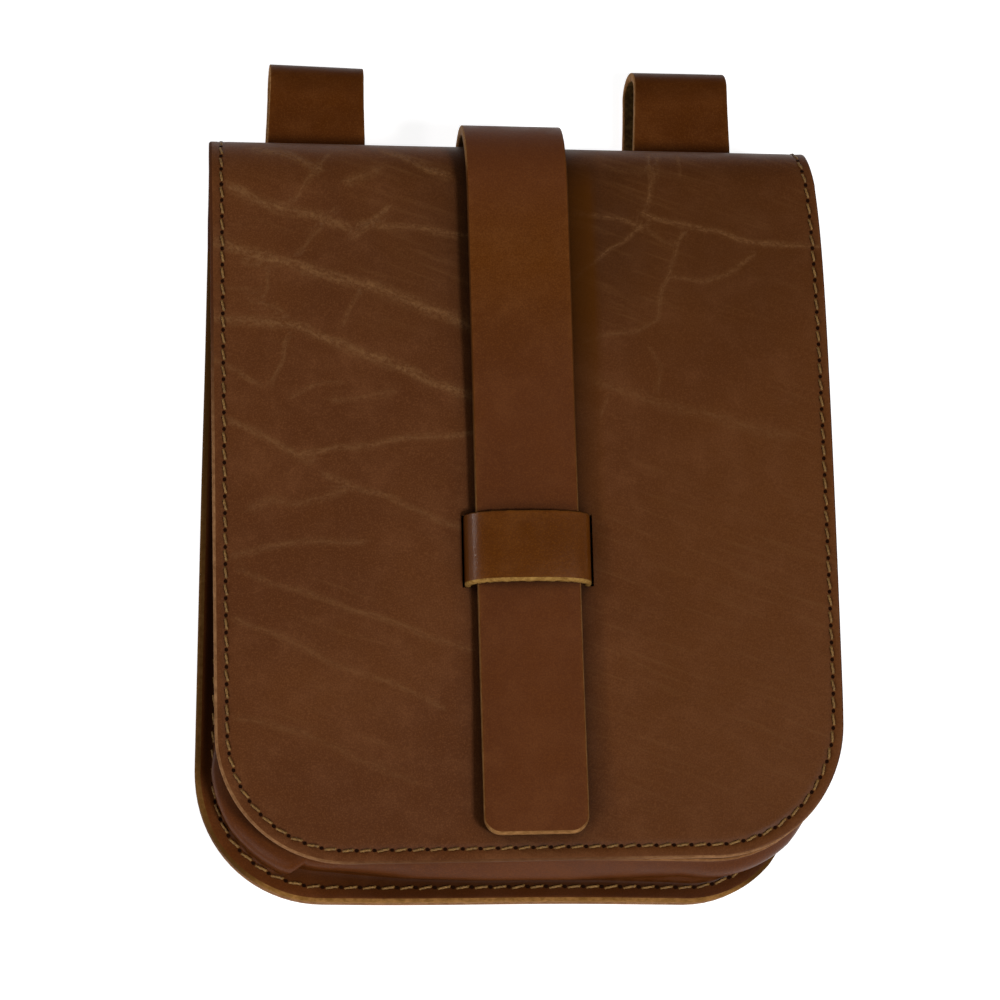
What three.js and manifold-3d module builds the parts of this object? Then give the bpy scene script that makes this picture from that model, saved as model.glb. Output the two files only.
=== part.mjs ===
// Leather belt pouch lying on its back, in millimetres.
// X runs across the pouch, +Y towards its top, +Z up from the surface that it lies on.
import * as THREE from "three";
import { mergeVertices } from "three/addons/utils/BufferGeometryUtils.js";
import Module from "manifold-3d";

const { lerp, smoothstep, clamp, degToRad } = THREE.MathUtils;
const wasm = await Module();
wasm.setup();

// Leather thickness of each piece, and the gap kept between pieces that touch
const HIDE = { back: 3, front: 2.4, gusset: 2.2, strap: 3, keeper: 2, loop: 2.6 };
const SEAM = 0.3;

// Back panel: flat, resting on its bottom edge and leaning up onto the belt loops
const BACK = { width: 175, corner: 37, rise: 0.0558 };

// Fold over the top, a half ellipse between the back panel and the flap, tucked in at its right end
const FOLD = { width: 180.6, shiftX: 3.3, startY: 207.8, reach: 16, tuck: 3.4 };
const FOLD_TOP_Y = FOLD.startY + FOLD.reach;

// Flap: heights of its outer face, its outline, and how it is turned and tilted over the back panel
const FLAP = { topZ: 36, bottomZ: 24, bottomY: 7.6, width: 178.2, corner: 37.7 };
const FLAP_TURN = degToRad(1.35);
const FLAP_TILT = 0.024;
const FLAP_CROWN = 1.2;
const FLAP_EDGE_DROP = 0.8;

// Front panel under the flap: close to it along the bottom edge, with room for the keeper's band higher up.
// Its bottom edge stays level with the back panel's instead of turning with the flap.
const FRONT = { topY: 196, bottomY: 8.6, halfWidth: 86.6, corner: 36 };
const FRONT_GAP = { edge: 0.8, keeper: HIDE.keeper + 2 * SEAM, fromY: 15, toY: 70 };
const FRONT_LEVEL = { fromY: 15, toY: 90 };

// Gusset: flange on the back panel, bulging wall, flange under the front panel
const GUSSET = { topY: 192, backFlange: 5.2, frontEdge: 1.6, frontFlange: 10, bend: 1.3 };
const GUSSET_BULGE = { side: 1.2, corner: 3.2, bottom: 1.6 };

// Strap: sewn on the back, arching over the fold, down the flap and through the keeper
const STRAP = { width: 29.6, topX: -0.2, endX: 0.9, tailY: 148, archReach: 22, endAbove: 6.4, endCorner: 5 };
const STRAP_LIFT = { fold: 3.2, fadeY: 118 };
const STRAP_REAR_SHIFT = -2;

// Keeper: an arched band through two slits in the flap
const KEEPER = { centreY: 96.6, length: 21, halfWidth: 18.2, archHeight: 7, shoulder: 0.9 };
const SLIT = { width: 3.2, length: 22.6 };

// Belt loops: a folded strip, sewn under the back panel, whose rear leg lies on the surface
const LOOP = { width: 28.5, sewnY: 150, sewnEndY: 168, floorY: 190, bendY: 249.5 };
const LOOPS = [
  { name: "belt_loop_left", x: -55, rearShift: -0.6 },
  { name: "belt_loop_right", x: 56, rearShift: -3 },
];

// Grid steps
const STEPS = {
  across: 12,
  corner: 8,
  back: 5,
  fold: 10,
  flap: 12,
  side: 9,
  bottom: 8,
  strap: 24,
  strapAcross: 4,
  wall: 4,
  loop: 12,
  keeper: 10,
};

const range = (steps) => Array.from({ length: steps + 1 }, (_, i) => i / steps);

// Height of the back panel's underside at y
const backUnder = (y) => BACK.rise * y;
const backTop = (y) => backUnder(y) + HIDE.back;

// Middle line and half width of the back panel, which widens a little towards the fold
const backCentre = (y) => (FOLD.shiftX * y) / FOLD_TOP_Y;
const backHalf = (y) => lerp(BACK.width, FOLD.width, y / FOLD_TOP_Y) / 2;
const flapHalf = (y) => lerp(FLAP.width, FOLD.width, y / FOLD_TOP_Y) / 2;
const strapX = (y) => lerp(STRAP.endX, STRAP.topX, y / FOLD_TOP_Y);

// Height of the flap's outer face at a point of the flap, before it is turned
function flapTop(x, y) {
  const down = clamp((FOLD.startY - y) / (FOLD.startY - FLAP.bottomY), 0, 1);
  const crown = FLAP_CROWN * Math.sin(Math.PI * down);
  const drop = FLAP_EDGE_DROP * (x / flapHalf(y)) ** 4 * down;
  return lerp(FLAP.topZ, FLAP.bottomZ, down) + FLAP_TILT * x * down + crown - drop;
}

// A point of the flap, turned about the middle of the fold by a share of the flap's turn
function turned(x, y, z, share = 1) {
  const angle = FLAP_TURN * share;
  const up = y - FOLD_TOP_Y;
  return new THREE.Vector3(
    Math.cos(angle) * x - Math.sin(angle) * up + FOLD.shiftX,
    Math.sin(angle) * x + Math.cos(angle) * up + FOLD_TOP_Y,
    z,
  );
}

// A point of the front panel, given by its depth under the panel's outer face
function onFront(x, y, depth) {
  const level = y - Math.sin(FLAP_TURN) * x * (1 - smoothstep(y, FRONT_LEVEL.fromY, FRONT_LEVEL.toY));
  const gap = lerp(FRONT_GAP.edge, FRONT_GAP.keeper, smoothstep(level, FRONT_GAP.fromY, FRONT_GAP.toY));
  return turned(x, level, flapTop(x, level) - HIDE.back - gap - depth);
}

// Distances from a rounded end, and how far its outline stands in there
function roundedEnd(radius) {
  return range(STEPS.corner).map((t) => ({
    along: radius * (1 - Math.cos((t * Math.PI) / 2)),
    inset: radius * (1 - Math.sin((t * Math.PI) / 2)),
  }));
}

// A closed sheet of even thickness around a grid of middle points, grid[row][column]
function leatherSheet(grid, thickness) {
  const rows = grid.length;
  const columns = grid[0].length;
  const at = (r, c) => grid[clamp(r, 0, rows - 1)][clamp(c, 0, columns - 1)];
  const positions = [];
  for (const side of [1, -1]) {
    for (let r = 0; r < rows; r++) {
      for (let c = 0; c < columns; c++) {
        const along = at(r + 1, c).clone().sub(at(r - 1, c));
        const across = at(r, c + 1).clone().sub(at(r, c - 1));
        const normal = across.cross(along).normalize();
        const point = at(r, c).clone().addScaledVector(normal, (side * thickness) / 2);
        positions.push(point.x, point.y, point.z);
      }
    }
  }
  const face = (r, c) => r * columns + c;
  const back = (r, c) => rows * columns + face(r, c);
  const index = [];
  const quad = (p, q, s, t) => index.push(p, q, s, p, s, t);
  const lastRow = rows - 1;
  const lastColumn = columns - 1;
  for (let r = 0; r < lastRow; r++) {
    for (let c = 0; c < lastColumn; c++) {
      quad(face(r, c), face(r, c + 1), face(r + 1, c + 1), face(r + 1, c));
      quad(back(r, c), back(r + 1, c), back(r + 1, c + 1), back(r, c + 1));
    }
    quad(face(r, 0), face(r + 1, 0), back(r + 1, 0), back(r, 0));
    quad(back(r, lastColumn), back(r + 1, lastColumn), face(r + 1, lastColumn), face(r, lastColumn));
  }
  for (let c = 0; c < lastColumn; c++) {
    quad(back(0, c), back(0, c + 1), face(0, c + 1), face(0, c));
    quad(face(lastRow, c), face(lastRow, c + 1), back(lastRow, c + 1), back(lastRow, c));
  }
  const geometry = new THREE.BufferGeometry();
  geometry.setAttribute("position", new THREE.Float32BufferAttribute(positions, 3));
  geometry.setIndex(index);
  return geometry;
}

// A geometry as a solid that can be cut, and back again
function solidOf(geometry) {
  const bare = geometry.clone();
  bare.deleteAttribute("normal");
  bare.deleteAttribute("uv");
  const merged = mergeVertices(bare);
  return new wasm.Manifold(
    new wasm.Mesh({
      numProp: 3,
      vertProperties: new Float32Array(merged.attributes.position.array),
      triVerts: new Uint32Array(merged.index.array),
    }),
  );
}

function geometryOf(solid) {
  const mesh = solid.getMesh();
  const geometry = new THREE.BufferGeometry();
  geometry.setAttribute("position", new THREE.BufferAttribute(mesh.vertProperties, 3));
  geometry.setIndex(new THREE.BufferAttribute(mesh.triVerts, 1));
  return geometry;
}

// Local frame on the flap's outer face: X across the flap, Y up it, Z out of it
function flapFrame(x, y) {
  const point = (dx, dy) => turned(x + dx, y + dy, flapTop(x + dx, y + dy));
  const across = point(1, 0).sub(point(-1, 0)).normalize();
  const up = point(0, 1).sub(point(0, -1)).normalize();
  const out = across.clone().cross(up).normalize();
  const side = up.clone().cross(out);
  return new THREE.Matrix4().makeBasis(side, up, out).setPosition(point(0, 0));
}

const keeperFrame = () => flapFrame(strapX(KEEPER.centreY), KEEPER.centreY);

// Back panel, fold and flap in one grid of rows from the back's bottom edge to the flap's
function backFlapGrid() {
  const half = HIDE.back / 2;
  const grid = [];
  const backRow = (y, inset) => {
    const width = backHalf(y) - inset;
    const z = backUnder(y) + half;
    const xs = range(STEPS.across).map((t) => backCentre(y) + lerp(-width, width, t));
    grid.push(xs.map((x) => new THREE.Vector3(x, y, z)));
  };
  const flapRow = (y, inset) => {
    const width = flapHalf(y) - inset;
    const xs = range(STEPS.across).map((t) => lerp(-width, width, t));
    grid.push(xs.map((x) => turned(x, y, flapTop(x, y) - half)));
  };
  roundedEnd(BACK.corner).forEach(({ along, inset }) => backRow(along, inset));
  range(STEPS.back).slice(1, -1).forEach((t) => backRow(lerp(BACK.corner, FOLD.startY, t), 0));
  const low = backUnder(FOLD.startY) + half;
  const high = FLAP.topZ - half;
  for (const t of range(STEPS.fold)) {
    const angle = t * Math.PI;
    const y = FOLD.startY + (FOLD.reach - half) * Math.sin(angle);
    const z = (low + high) / 2 - ((high - low) / 2) * Math.cos(angle);
    const share = smoothstep(t, 0.5, 1);
    const left = -FOLD.width / 2;
    const right = FOLD.width / 2 - FOLD.tuck * Math.sin(angle);
    grid.push(range(STEPS.across).map((u) => turned(lerp(left, right, u), y, z, share)));
  }
  range(STEPS.flap).slice(1).forEach((t) => flapRow(lerp(FOLD.startY, FLAP.bottomY + FLAP.corner, t), 0));
  roundedEnd(FLAP.corner)
    .slice(0, -1)
    .reverse()
    .forEach(({ along, inset }) => flapRow(FLAP.bottomY + along, inset));
  return grid;
}

function backFlap() {
  const frame = keeperFrame();
  const slits = [-1, 1].map((side) => {
    const slit = new THREE.BoxGeometry(SLIT.width, SLIT.length, HIDE.back * 3);
    slit.translate(side * (KEEPER.halfWidth - HIDE.keeper / 2), 0, 0);
    return solidOf(slit.applyMatrix4(frame));
  });
  const sheet = solidOf(leatherSheet(backFlapGrid(), HIDE.back));
  return geometryOf(slits.reduce((solid, slit) => solid.subtract(slit), sheet));
}

function frontPanel() {
  const row = (y, inset) => {
    const width = FRONT.halfWidth - inset;
    const xs = range(STEPS.across).map((t) => lerp(-width, width, t));
    return xs.map((x) => onFront(x, y, HIDE.front / 2));
  };
  const grid = roundedEnd(FRONT.corner).map(({ along, inset }) => row(FRONT.bottomY + along, inset));
  const straight = range(STEPS.flap).slice(1);
  straight.forEach((t) => grid.push(row(lerp(FRONT.bottomY + FRONT.corner, FRONT.topY, t), 0)));
  return leatherSheet(grid, HIDE.front);
}

// Points down the left side of a panel, round its bottom and up its right side, standing in by inset
function panelEdge({ left, right, bottom, top, corner }, inset) {
  const radius = corner - inset;
  const cornerY = bottom + corner;
  const points = [];
  const straightSide = (edge, share) => {
    const y = lerp(top, cornerY, share);
    points.push({ x: edge(y), y });
  };
  const arc = (centreX, angle) => {
    points.push({ x: centreX + radius * Math.cos(angle), y: cornerY + radius * Math.sin(angle) });
  };
  const leftEdge = (y) => left(y) + inset;
  const rightEdge = (y) => right(y) - inset;
  const leftCentre = left(cornerY) + corner;
  const rightCentre = right(cornerY) - corner;
  range(STEPS.side).slice(0, -1).forEach((t) => straightSide(leftEdge, t));
  range(STEPS.corner).forEach((t) => arc(leftCentre, lerp(Math.PI, 1.5 * Math.PI, t)));
  const bottomStops = range(STEPS.bottom).slice(1, -1);
  bottomStops.forEach((t) => points.push({ x: lerp(leftCentre, rightCentre, t), y: bottom + inset }));
  range(STEPS.corner).forEach((t) => arc(rightCentre, lerp(1.5 * Math.PI, 2 * Math.PI, t)));
  range(STEPS.side).slice(0, -1).reverse().forEach((t) => straightSide(rightEdge, t));
  return points;
}

// How far the gusset's wall bulges at each station of the edge
function gussetBulges() {
  const { side, corner, bottom } = GUSSET_BULGE;
  const blend = (from, to, t) => lerp(lerp(from, to, t), corner, Math.sin(t * Math.PI));
  const swell = (from, to) => range(STEPS.corner).map((t) => blend(from, to, t));
  const sides = Array(STEPS.side).fill(side);
  const bottoms = Array(STEPS.bottom - 1).fill(bottom);
  return [...sides, ...swell(side, bottom), ...bottoms, ...swell(bottom, side), ...sides];
}

function gusset() {
  const backEdge = {
    left: (y) => backCentre(y) - backHalf(y),
    right: (y) => backCentre(y) + backHalf(y),
    bottom: 0,
    top: GUSSET.topY,
    corner: BACK.corner,
  };
  const frontEdge = {
    left: () => -FRONT.halfWidth,
    right: () => FRONT.halfWidth,
    bottom: FRONT.bottomY,
    top: GUSSET.topY,
    corner: FRONT.corner,
  };
  const half = HIDE.gusset / 2;
  const backRow = (inset, raise) =>
    panelEdge(backEdge, inset).map(({ x, y }) => new THREE.Vector3(x, y, backTop(y) + SEAM + half + raise));
  const frontRow = (inset, lower) =>
    panelEdge(frontEdge, inset).map(({ x, y }) => onFront(x, y, HIDE.front + SEAM + half + lower));
  const { backFlange, frontEdge: rim, frontFlange, bend } = GUSSET;
  const foot = backRow(backFlange + bend, bend);
  const head = frontRow(rim, bend);
  const outside = backRow(backFlange + bend - 1, bend);
  const bulges = gussetBulges();
  const wallRow = (t) =>
    foot.map((point, i) => {
      const outward = outside[i].clone().sub(point).setZ(0).normalize();
      const wall = point.clone().lerp(head[i], t);
      return wall.addScaledVector(outward, bulges[i] * Math.sin(t * Math.PI));
    });
  const rows = [
    backRow(0, 0),
    backRow(backFlange / 2, 0),
    backRow(backFlange, 0),
    foot,
    ...range(STEPS.wall).slice(1, -1).map(wallRow),
    head,
    frontRow(rim + bend, 0),
    frontRow(frontFlange, 0),
  ];
  return leatherSheet(rows, HIDE.gusset);
}

function strap() {
  const half = HIDE.strap / 2;
  const across = range(STEPS.strapAcross).map((t) => lerp(-1, 1, t));
  const width = STRAP.width / 2;
  const lift = (y) => SEAM + half + STRAP_LIFT.fold * smoothstep(y, STRAP_LIFT.fadeY, FOLD.startY);
  const onFlap = (y, inset) =>
    across.map((u) => {
      const x = strapX(y) + u * (width - inset);
      return turned(x, y, flapTop(x, y) + lift(y));
    });
  const low = (y) => backUnder(y) - SEAM - half;
  const rearX = STRAP.topX + STRAP_REAR_SHIFT;
  const onBack = (y) => across.map((u) => new THREE.Vector3(FOLD.shiftX + rearX + u * width, y, low(y)));
  const archLow = low(FOLD.startY);
  const archHigh = FLAP.topZ + lift(FOLD.startY);
  const onArch = (t) => {
    const y = FOLD.startY + (STRAP.archReach - half) * Math.sin(t * Math.PI);
    const z = lerp(archLow, archHigh, (1 - Math.cos(t * Math.PI)) / 2);
    const x = lerp(rearX, STRAP.topX, smoothstep(t, 0, 1));
    return across.map((u) => turned(x + u * width, y, z, smoothstep(t, 0.5, 1)));
  };
  const endY = FLAP.bottomY + STRAP.endAbove;
  const grid = [
    ...range(STEPS.back).slice(0, -1).map((t) => onBack(lerp(STRAP.tailY, FOLD.startY, t))),
    ...range(STEPS.fold).map(onArch),
    ...range(STEPS.strap).slice(1).map((t) => onFlap(lerp(FOLD.startY, endY + STRAP.endCorner, t), 0)),
    ...roundedEnd(STRAP.endCorner)
      .slice(0, -1)
      .reverse()
      .map(({ along, inset }) => onFlap(endY + along, inset)),
  ];
  return leatherSheet(grid, HIDE.strap);
}

// Closed section of the keeper's band, standing in by inset: an arch over the strap, flat under the flap
function keeperSection(inset, shape) {
  const wide = KEEPER.halfWidth - inset;
  const high = KEEPER.archHeight - inset;
  const low = -HIDE.back - SEAM - HIDE.keeper + inset;
  shape.moveTo(-wide, low);
  shape.lineTo(wide, low);
  shape.lineTo(wide, 0);
  shape.bezierCurveTo(wide, high * KEEPER.shoulder, wide * KEEPER.shoulder, high, 0, high);
  shape.bezierCurveTo(-wide * KEEPER.shoulder, high, -wide, high * KEEPER.shoulder, -wide, 0);
  shape.lineTo(-wide, low);
  return shape;
}

function keeper() {
  const section = keeperSection(0, new THREE.Shape());
  section.holes.push(keeperSection(HIDE.keeper, new THREE.Path()));
  const settings = { depth: KEEPER.length, bevelEnabled: false, curveSegments: STEPS.keeper };
  const band = new THREE.ExtrudeGeometry(section, settings);
  return band.translate(0, 0, -KEEPER.length / 2).rotateX(Math.PI / 2);
}

function beltLoop({ x, rearShift }) {
  const half = HIDE.loop / 2;
  const front = (y) => backUnder(y) - SEAM - half;
  const rear = (y) => lerp(front(y) - HIDE.loop - SEAM, half, smoothstep(y, LOOP.sewnEndY, LOOP.floorY));
  const bendHigh = front(LOOP.bendY);
  const radius = (bendHigh - half) / 2;
  const path = [
    ...range(STEPS.loop).map((t) => ({ y: lerp(LOOP.sewnY, LOOP.bendY, t), share: 0 })),
    ...range(STEPS.fold).slice(1, -1).map((t) => ({ y: LOOP.bendY, angle: t * Math.PI, share: t })),
    ...range(STEPS.loop).map((t) => ({ y: lerp(LOOP.bendY, LOOP.sewnY, t), share: 1 })),
  ];
  const place = ({ y, angle = 0, share }) => {
    if (angle) return { y: y + radius * Math.sin(angle), z: half + radius * (1 + Math.cos(angle)) };
    return { y, z: share ? rear(y) : front(y) };
  };
  const grid = path.map((stop) => {
    const { y, z } = place(stop);
    const shift = rearShift * stop.share * smoothstep(y, LOOP.sewnEndY, LOOP.floorY);
    return [-1, 0, 1].map((u) => new THREE.Vector3(x + shift + (u * LOOP.width) / 2, y, z));
  });
  return leatherSheet(grid, HIDE.loop);
}

// Materials and assembly
const leather = (color, roughness) => new THREE.MeshStandardMaterial({ color, roughness, metalness: 0 });
const COLOURS = {
  back_flap: leather("#57321a", 0.5),
  gusset: leather("#613c2a", 0.4),
  front_panel: leather("#57321a", 0.5),
  strap: leather("#572f15", 0.45),
  keeper: leather("#583014", 0.4),
  belt_loop: leather("#4c2a11", 0.5),
};

function piece(name, geometry, material) {
  geometry.computeVertexNormals();
  const mesh = new THREE.Mesh(geometry, material);
  mesh.name = name;
  return mesh;
}

const pouch = new THREE.Group();
pouch.add(piece("back_flap", backFlap(), COLOURS.back_flap));
pouch.add(piece("gusset", gusset(), COLOURS.gusset));
pouch.add(piece("front_panel", frontPanel(), COLOURS.front_panel));
pouch.add(piece("strap", strap(), COLOURS.strap));
const keeperBand = piece("keeper", keeper(), COLOURS.keeper);
keeperFrame().decompose(keeperBand.position, keeperBand.quaternion, keeperBand.scale);
pouch.add(keeperBand);
LOOPS.forEach((loop) => pouch.add(piece(loop.name, beltLoop(loop), COLOURS.belt_loop)));

// The origin is on the surface, under the middle of the pouch's box
const box = new THREE.Box3().setFromObject(pouch, true);
const middle = box.getCenter(new THREE.Vector3());
pouch.position.set(-middle.x, -middle.y, -box.min.z);
const root = new THREE.Group();
root.add(pouch);

export default root;
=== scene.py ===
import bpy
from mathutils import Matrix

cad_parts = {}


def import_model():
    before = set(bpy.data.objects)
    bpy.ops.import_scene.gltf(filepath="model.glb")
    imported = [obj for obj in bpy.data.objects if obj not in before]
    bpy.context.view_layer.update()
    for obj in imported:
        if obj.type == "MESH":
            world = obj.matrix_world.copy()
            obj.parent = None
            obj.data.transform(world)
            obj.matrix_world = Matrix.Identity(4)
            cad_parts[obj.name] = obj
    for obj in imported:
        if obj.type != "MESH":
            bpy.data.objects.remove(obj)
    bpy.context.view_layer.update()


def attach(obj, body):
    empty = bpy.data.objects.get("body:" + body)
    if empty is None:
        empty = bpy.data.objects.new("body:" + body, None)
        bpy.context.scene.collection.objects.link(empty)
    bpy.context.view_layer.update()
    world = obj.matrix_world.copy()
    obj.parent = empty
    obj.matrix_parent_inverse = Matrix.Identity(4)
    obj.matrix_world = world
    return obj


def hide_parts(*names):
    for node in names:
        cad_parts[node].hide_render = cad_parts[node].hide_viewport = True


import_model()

import math

import bpy
import numpy as np
from mathutils import Matrix

MM = 0.001

# The design's own origin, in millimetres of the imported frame
DESIGN_ORIGIN = np.array([-4.7066, -128.1137, 0.0])

# Leather thickness of each piece and the gap between touching pieces, in millimetres as all sizes below
BACK_HIDE, FRONT_HIDE, GUSSET_HIDE, STRAP_HIDE, KEEPER_HIDE, LOOP_HIDE = 3.0, 2.4, 2.2, 3.0, 2.0, 2.6
SEAM = 0.3

# How far the rounded cut edge of each piece reaches
FLAP_RIM, FRONT_EDGE_RIM, GUSSET_RIM, STRAP_RIM, KEEPER_RIM, LOOP_RIM = 0.9, 0.5, 1.7, 0.7, 0.95, 0.6

# Back panel and the fold over the top
BACK_WIDTH, BACK_CORNER, BACK_RISE = 175.0, 37.0, 0.0558
FOLD_WIDTH, FOLD_SHIFT, FOLD_START, FOLD_REACH, FOLD_TUCK = 180.6, 3.3, 207.8, 16.0, 3.4
FOLD_TOP = FOLD_START + FOLD_REACH

# How the back lies: lower right corner pressed straighter, upper left side drawn in, lower left edge sagging
CORNER_PRESS, CORNER_BULGE, SIDE_DRAWN, LOW_SAG = 1.5, 0.6, 0.2, 1.0

# The right end of the fold is tucked in. The tuck runs out down the flap, which spreads below it.
TUCK_FLAP, TUCK_LENGTH, FLAP_SPREAD = 1.9, 18.0, 0.6

# Flap
FLAP_TOP_Z, FLAP_LOW_Z, FLAP_LOW_Y, FLAP_WIDTH, FLAP_CORNER = 36.0, 24.0, 7.6, 178.2, 37.7
FLAP_TURN = math.radians(1.35)
FLAP_TILT, FLAP_CROWN, FLAP_EDGE_DROP = 0.024, 1.2, 0.8

# Front panel under the flap
FRONT_TOP_Y, FRONT_LOW_Y, FRONT_HALF, FRONT_CORNER = 196.0, 8.6, 86.6, 36.0
FRONT_GAP_EDGE, FRONT_GAP_KEEPER, FRONT_GAP_FROM, FRONT_GAP_TO = 0.8, 2.6, 15.0, 70.0
FRONT_LEVEL_FROM, FRONT_LEVEL_TO = 15.0, 90.0

# Gusset: its flange on the back, its edge and flange under the front panel, and its bends
GUSSET_TOP, BACK_FLANGE, FRONT_RIM, FRONT_FLANGE, GUSSET_BEND = 192.0, 5.2, 1.6, 10.0, 1.3

# Points along the gusset's side, corner and bottom, steps between its control rows, and rows on its flange
GUSSET_COUNTS, GUSSET_STEPS, FLANGE_ROWS = (70, 60, 90), 4, 9

# How far the gusset's wall stands out: station, then at the foot, low, in the middle and high.
# Stations count the left side, the left corner, the bottom, the right corner and the right side.
WALL_SHARES = (0.0, 0.2, 0.42, 0.7)
GUSSET_BULGES = [
    (0.0, 0.0, 0.5, 0.8, 0.5),
    (0.9, 0.0, 0.5, 0.8, 0.5),
    (1.1, 0.0, 1.0, 2.4, 3.0),
    (1.4, 0.0, 1.2, 3.2, 4.6),
    (1.75, 0.0, 1.6, 3.0, 3.8),
    (1.79, -3.4, -2.6, -0.7, 0.8),
    (2.0, -3.3, -2.4, -0.8, 0.1),
    (2.13, -2.3, -1.2, -0.2, 0.3),
    (2.24, -1.5, 0.0, 0.4, 0.4),
    (2.45, -0.9, 0.6, 0.8, 0.5),
    (2.67, -0.9, 0.6, 0.8, 0.5),
    (2.8, -0.9, 0.0, 0.5, 0.5),
    (2.97, -0.6, -0.8, 0.3, 0.8),
    (3.2, 0.0, 0.2, 1.7, 1.9),
    (3.5, 0.0, 1.0, 3.2, 2.8),
    (3.8, 0.0, 0.8, 2.2, 1.8),
    (4.1, 0.0, 0.5, 0.8, 0.6),
    (5.0, 0.0, 0.5, 0.8, 0.5),
]

# Strap and keeper
STRAP_WIDTH, STRAP_TOP_X, STRAP_END_X, STRAP_TAIL_Y = 29.6, -0.2, 0.9, 148.0
STRAP_ARCH, STRAP_END_ABOVE, STRAP_END_CORNER = 22.0, 6.4, 5.0
STRAP_FOLD_LIFT, STRAP_FADE_Y, STRAP_REAR_SHIFT = 3.2, 118.0, -2.0
STRAP_END_LIFT, STRAP_END_FADE, STRAP_SLACK, STRAP_CROWN = 1.7, 70.0, 1.1, 0.25
STRAP_END_Y = FLAP_LOW_Y + STRAP_END_ABOVE
STRAP_REAR_X = FOLD_SHIFT + STRAP_TOP_X + STRAP_REAR_SHIFT
KEEPER_Y, KEEPER_LENGTH, KEEPER_HALF, KEEPER_ARCH, KEEPER_SHOULDER = 96.6, 21.0, 18.2, 7.0, 0.8
KEEPER_BOW, KEEPER_SWELL, KEEPER_BEND, KEEPER_END_GAP = 0.3, 0.02, 1.6, 0.2
SLIT_IN, SLIT_OUT, SLIT_LENGTH = 1.1, 1.6, 21.2

# Belt loops, and how far each one's rear leg lies aside, its bend leans and drops
LOOP_WIDTH, LOOP_SEWN_Y, LOOP_SEWN_END, LOOP_FLOOR_Y, LOOP_BEND_Y = 28.5, 150.0, 168.0, 190.0, 250.6
LOOP_FLARE = 0.045
LOOPS = {
    "left": {"x": -55.0, "rear_shift": -0.6, "lean": -0.024, "drop": 0.7},
    "right": {"x": 56.0, "rear_shift": -2.3, "lean": 0.006, "drop": 0.0},
}

# Seams: distance of the stitches from the cut edge, their pitch, and the thread
STITCH_INSET, STITCH_PITCH, THREAD_RADIUS, HOLE_RADIUS = 3.6, 4.95, 0.37, 0.6
SEAM_RIGHT, SEAM_DEPTH, FRONT_STITCH_INSET = 0.8, 0.12, 5.5
FLANGE_STITCH_INSET, FLANGE_STITCH_SIDE, FLANGE_STITCH_PITCH = 4.1, 5.2, 5.3
SEAM_COUNTS, FLAP_SEAM_COUNTS, FOLD_SEAM_STEPS = (40, 30, 30), (59, 39, 29), 39
LEAST_STITCH_Z = 0.62
THREAD_SIDES, THREAD_RINGS, HOLE_SIDES = 8, 9, 10
STITCH_SLANT, STITCH_WOBBLE, STITCH_RISE, STITCH_SINK = 0.34, 0.3, 0.22, 0.5

# Share of the pitch where a stitch starts and that it spans, and depth and twist of the thread's two plies
STITCH_FROM, STITCH_SPAN, PLY_DEPTH, PLY_TWIST = 0.13, 0.74, 0.16, 0.9

# Awl holes: their width to their length, raised lip, dish, depth, and taper to the bottom
HOLE_SQUEEZE, HOLE_LIP, HOLE_DISH, HOLE_DEPTH, HOLE_TAPER = 0.85, 0.1, 0.06, 0.5, 0.7

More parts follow.
